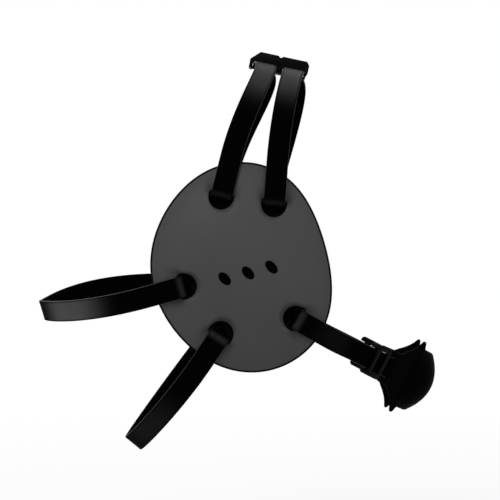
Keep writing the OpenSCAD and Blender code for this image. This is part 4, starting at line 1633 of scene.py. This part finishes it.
@dataclass
class ChinStraps:
    """The two straps to the chin cup, with their bars and sliders."""

    form: ChinForm
    router: StrapRouter
    webbing: Webbing
    slider_at: float = 2.4
    slider_l: float = 13.0
    slider_edge: float = 0.35
    travel: float = 12.0
    tail: float = 4.0
    clear: float = 0.3
    off: float = 0.9
    reach: tuple = (14, 12)
    # painted highlights at the slot exit and along the strap
    sheen_spots: tuple = (EXIT_SHEEN, (40.0, 15.0, 0.04))

    def build(self, cloth: Skin, moulded: Skin) -> None:
        """Makes both straps, both sliders and the bars.

        Args:
            cloth: Finish of the straps.
            moulded: Finish of the sliders and bars.
        """
        for side in Side:
            word, edge = side.name.lower(), self.slider_edge
            strap = self.webbing.strap(f"{word}_chin_strap_weave", self._route(side), self.sheen_spots)
            settle(strap, "chin", "webbing", cloth, f"{word}_chin_strap")
            moulding(f"{word}_chin_slider", f"{word}_slider_body", edge, f"{word}_slider", moulded)
        moulding("chin_strap_bars", "chin_bars", BAR_EDGE, "chin", moulded)

    def _route(self, side: Side) -> Route:
        """Over the cup, through the slider, round the wing's end bar and back to the cut end.

        Args:
            side: The cup that the strap leaves.

        Returns:
            The strap's way.
        """
        form, off, clear = self.form, self.off, self.clear
        straight = self.slider_at + self.slider_l + self.travel + self.tail
        r = form.wall / 2 + clear + self.webbing.thick / 2
        loop_at, near = form.slot_at + 0.2, self.slider_at - clear
        sides = [(straight, off), (near, off), (clear, r - 0.2), (-loop_at / 2, r)]
        sides += [(-loop_at - r * math.sin(a), r * math.cos(a)) for a in np.radians(np.arange(0, 181, 15))]
        sides += [(-loop_at / 2, -r), (clear, 0.2 - r), (near, -off), (straight, -off)]
        loop = np.array([form.wing_side(side, back, out) for back, out in sides])
        up = np.array([math.sin(math.radians(form.slope)), 0.0, math.cos(math.radians(form.slope))])
        start = self.router.over_cup(side, Slots.CHIN.value, 0.0)
        free = self.router.free(start, loop[0], unit(loop[1] - loop[0]), up, self.reach)
        return (start + free + Route(loop[1:], np.tile(up, (len(loop) - 1, 1)))).even(0.8, 3)


# Studio


@dataclass
class Studio:
    """Pale floor, plain soft lights and the camera at the photograph's angle.

    Each lamp has a name, a place in metres and a power. The floor's whiteness is 0.80 below the object and
    grows to 1 between the two distances in metres.
    """

    camera_at: tuple = (-24.2, -1552.0, 11.8)
    turned: float = 1.0024
    raised: float = 0.07
    lens: float = 177.0
    floor_w: float = -172.0
    floor_half: float = 3000.0
    floor_white: tuple = (0.80, 0.25, 1.3)
    surround: float = 0.45
    lamp_size: float = 1.4
    lamps: tuple = (("key", (-0.9, -1.6, 1.2), 34.0), ("fill", (1.6, -1.3, 0.4), 12.0),
                    ("back", (-0.6, 1.6, 1.2), 16.0))

    def build(self) -> None:
        """Makes the camera, the lights, the world and the floor."""
        scene = bpy.context.scene
        scene.view_settings.view_transform = "Standard"
        data = bpy.data.cameras.new("camera")
        data.lens, data.sensor_width, data.clip_end = self.lens, 36.0, 50.0
        way = (math.sin(math.radians(self.turned)), math.cos(math.radians(self.turned)),
               math.tan(math.radians(self.raised)))
        scene.camera = self._aimed("camera", data, Vector(self.camera_at) * MM, Vector(way))
        for name, spot, watts in self.lamps:
            data = bpy.data.lights.new(name, "AREA")
            data.size, data.energy = self.lamp_size, watts
            self._aimed(name, data, Vector(spot), -Vector(spot))
        self._world()
        self._floor()

    def _aimed(self, name: str, data: bpy.types.ID, spot: Vector, way: Vector) -> Piece:
        """Adds a camera or lamp.

        Args:
            name: Its name.
            data: Its camera or light data.
            spot: Where it stands, in metres.
            way: The direction that it looks in.

        Returns:
            The object.
        """
        thing = add(name, data)
        thing.location, thing.rotation_mode = spot, "QUATERNION"
        thing.rotation_quaternion = way.to_track_quat("-Z", "Y")
        return thing

    def _seen(self, sh: Shader) -> Sock:
        """1 for camera, glossy and transmission rays, 0 for the light that reaches the object."""
        rays = [sh.node("LightPath", out=f"Is {kind} Ray") for kind in ("Camera", "Glossy", "Transmission")]
        return (rays[0] + rays[1] + rays[2]).held()

    def _world(self) -> None:
        """White to the eye, a softer grey as a light."""
        sh = Shader("surround", world=True)
        strength = self._seen(sh) * (1 - self.surround) + self.surround
        glow = sh.node("Background", {"Color": (1, 1, 1, 1), "Strength": strength})
        bpy.context.scene.world = sh.show(glow)

    def _floor(self) -> None:
        """A pale floor that looks white and keeps a soft shadow."""
        ring = self.floor_half * np.array([[-1, -1], [1, -1], [1, 1], [-1, 1]])
        mesh = bpy.data.meshes.new("floor")
        mesh.from_pydata([(x * MM, y * MM, self.floor_w * MM) for x, y in ring.tolist()], [], [(0, 1, 2, 3)])
        floor = add("floor", mesh)
        sh = Shader("pale_floor")
        chalk = sh.node("BsdfDiffuse", {"Color": (0.8, 0.8, 0.8, 1)})
        glow = sh.node("Emission", {"Color": (1, 1, 1, 1), "Strength": 1.0})
        away = sh.node("VectorMath", {0: sh.spot()}, out="Value", operation="LENGTH")
        least, start, stop = self.floor_white
        white = least + away.held(start, stop) * (1 - least)
        mixed = sh.node("MixShader", {"Fac": self._seen(sh) * white, 1: chalk, 2: glow})
        mesh.materials.append(sh.show(mixed))


def main() -> None:
    """Builds the studio, the two ear cups, the straps and the chin piece, in that order."""
    logging.basicConfig(level=logging.INFO, format="%(name)s %(message)s")
    Studio().build()
    form, holes = CupForm(), SoundHoles()
    shell, foam = ShellPlastic().build(), ClosedCellFoam().build()
    skin = ClosedCellFoam("ear_pad_skin", base=(0.004, 0.004, 0.0045), pale=(0.010, 0.010, 0.011),
                          cell_per_m=900.0, pit_mm=0.12, gloss=0.1).build()
    # near black for the sheet of painted shade behind the sound holes
    shade_sheet_skin = ClosedCellFoam("black_shade_sheet", base=(0.0003, 0.0003, 0.0004), pale=(0.0016, 0.0016, 0.0018),
                           gloss=0.0).build()
    cloth, black = WovenWebbing().build(), MouldedBlack("moulded_black").build()
    chin = MouldedBlack("chin_plastic", base=(0.0002, 0.0002, 0.0003), wear_and_sheen=(0.0014, 0.0014, 0.0016),
                        rough=0.5, gloss=0.006).build()
    for side in Side:
        cup, word = EarCup(side, form, holes), side.name.lower()
        settle(cup.shell(), "cups", "cup_shell", shell, f"{word}_shell")
        # painted shade: a black sheet behind the sound holes
        settle(cup.shade_sheet(), "cups", "firm_foam", shade_sheet_skin)
        settle(cup.firm_foam(), "cups", "firm_foam", foam, f"{word}_firm_foam")
        settle(cup.cushion(), "cups", "ear_pad", skin, f"{word}_ear_cushion")
    router, webbing = StrapRouter(form), Webbing()
    CrownStraps(router, webbing).build(cloth, black)
    # Each loop's last values are painted highlights at both slot exits and along the loop.
    upper = RearLoop("upper_rear", Slots.UPPER, veers=(8, -7), end=(-127.5, -24.0), end_lean=197.0,
                     reach=((53, 36), (60, 40)), sheen_spots=both_ends(EXIT_SHEEN, (100.0, 24.0, 0.8)))
    lower = RearLoop("lower_rear", Slots.LOWER, veers=(2, -3), end=(-70.5, -107.5), end_lean=230.5,
                     reach=((40, 40), (36, 40)), sheen_spots=both_ends(EXIT_SHEEN, (100.0, 26.0, 0.10)))
    for loop in (upper, lower):
        loop.build(router, webbing, cloth, black)
    chin_form = ChinForm()
    ChinStraps(chin_form, router, webbing).build(cloth, black)
    bowl = ChinCup(chin_form)
    settle(bowl.cup(), "chin", "chin_cup", chin, "chin_cup")
    settle(bowl.liner(), "chin", "ear_pad", skin, "chin_liner")


if __name__ == "__main__":
    main()
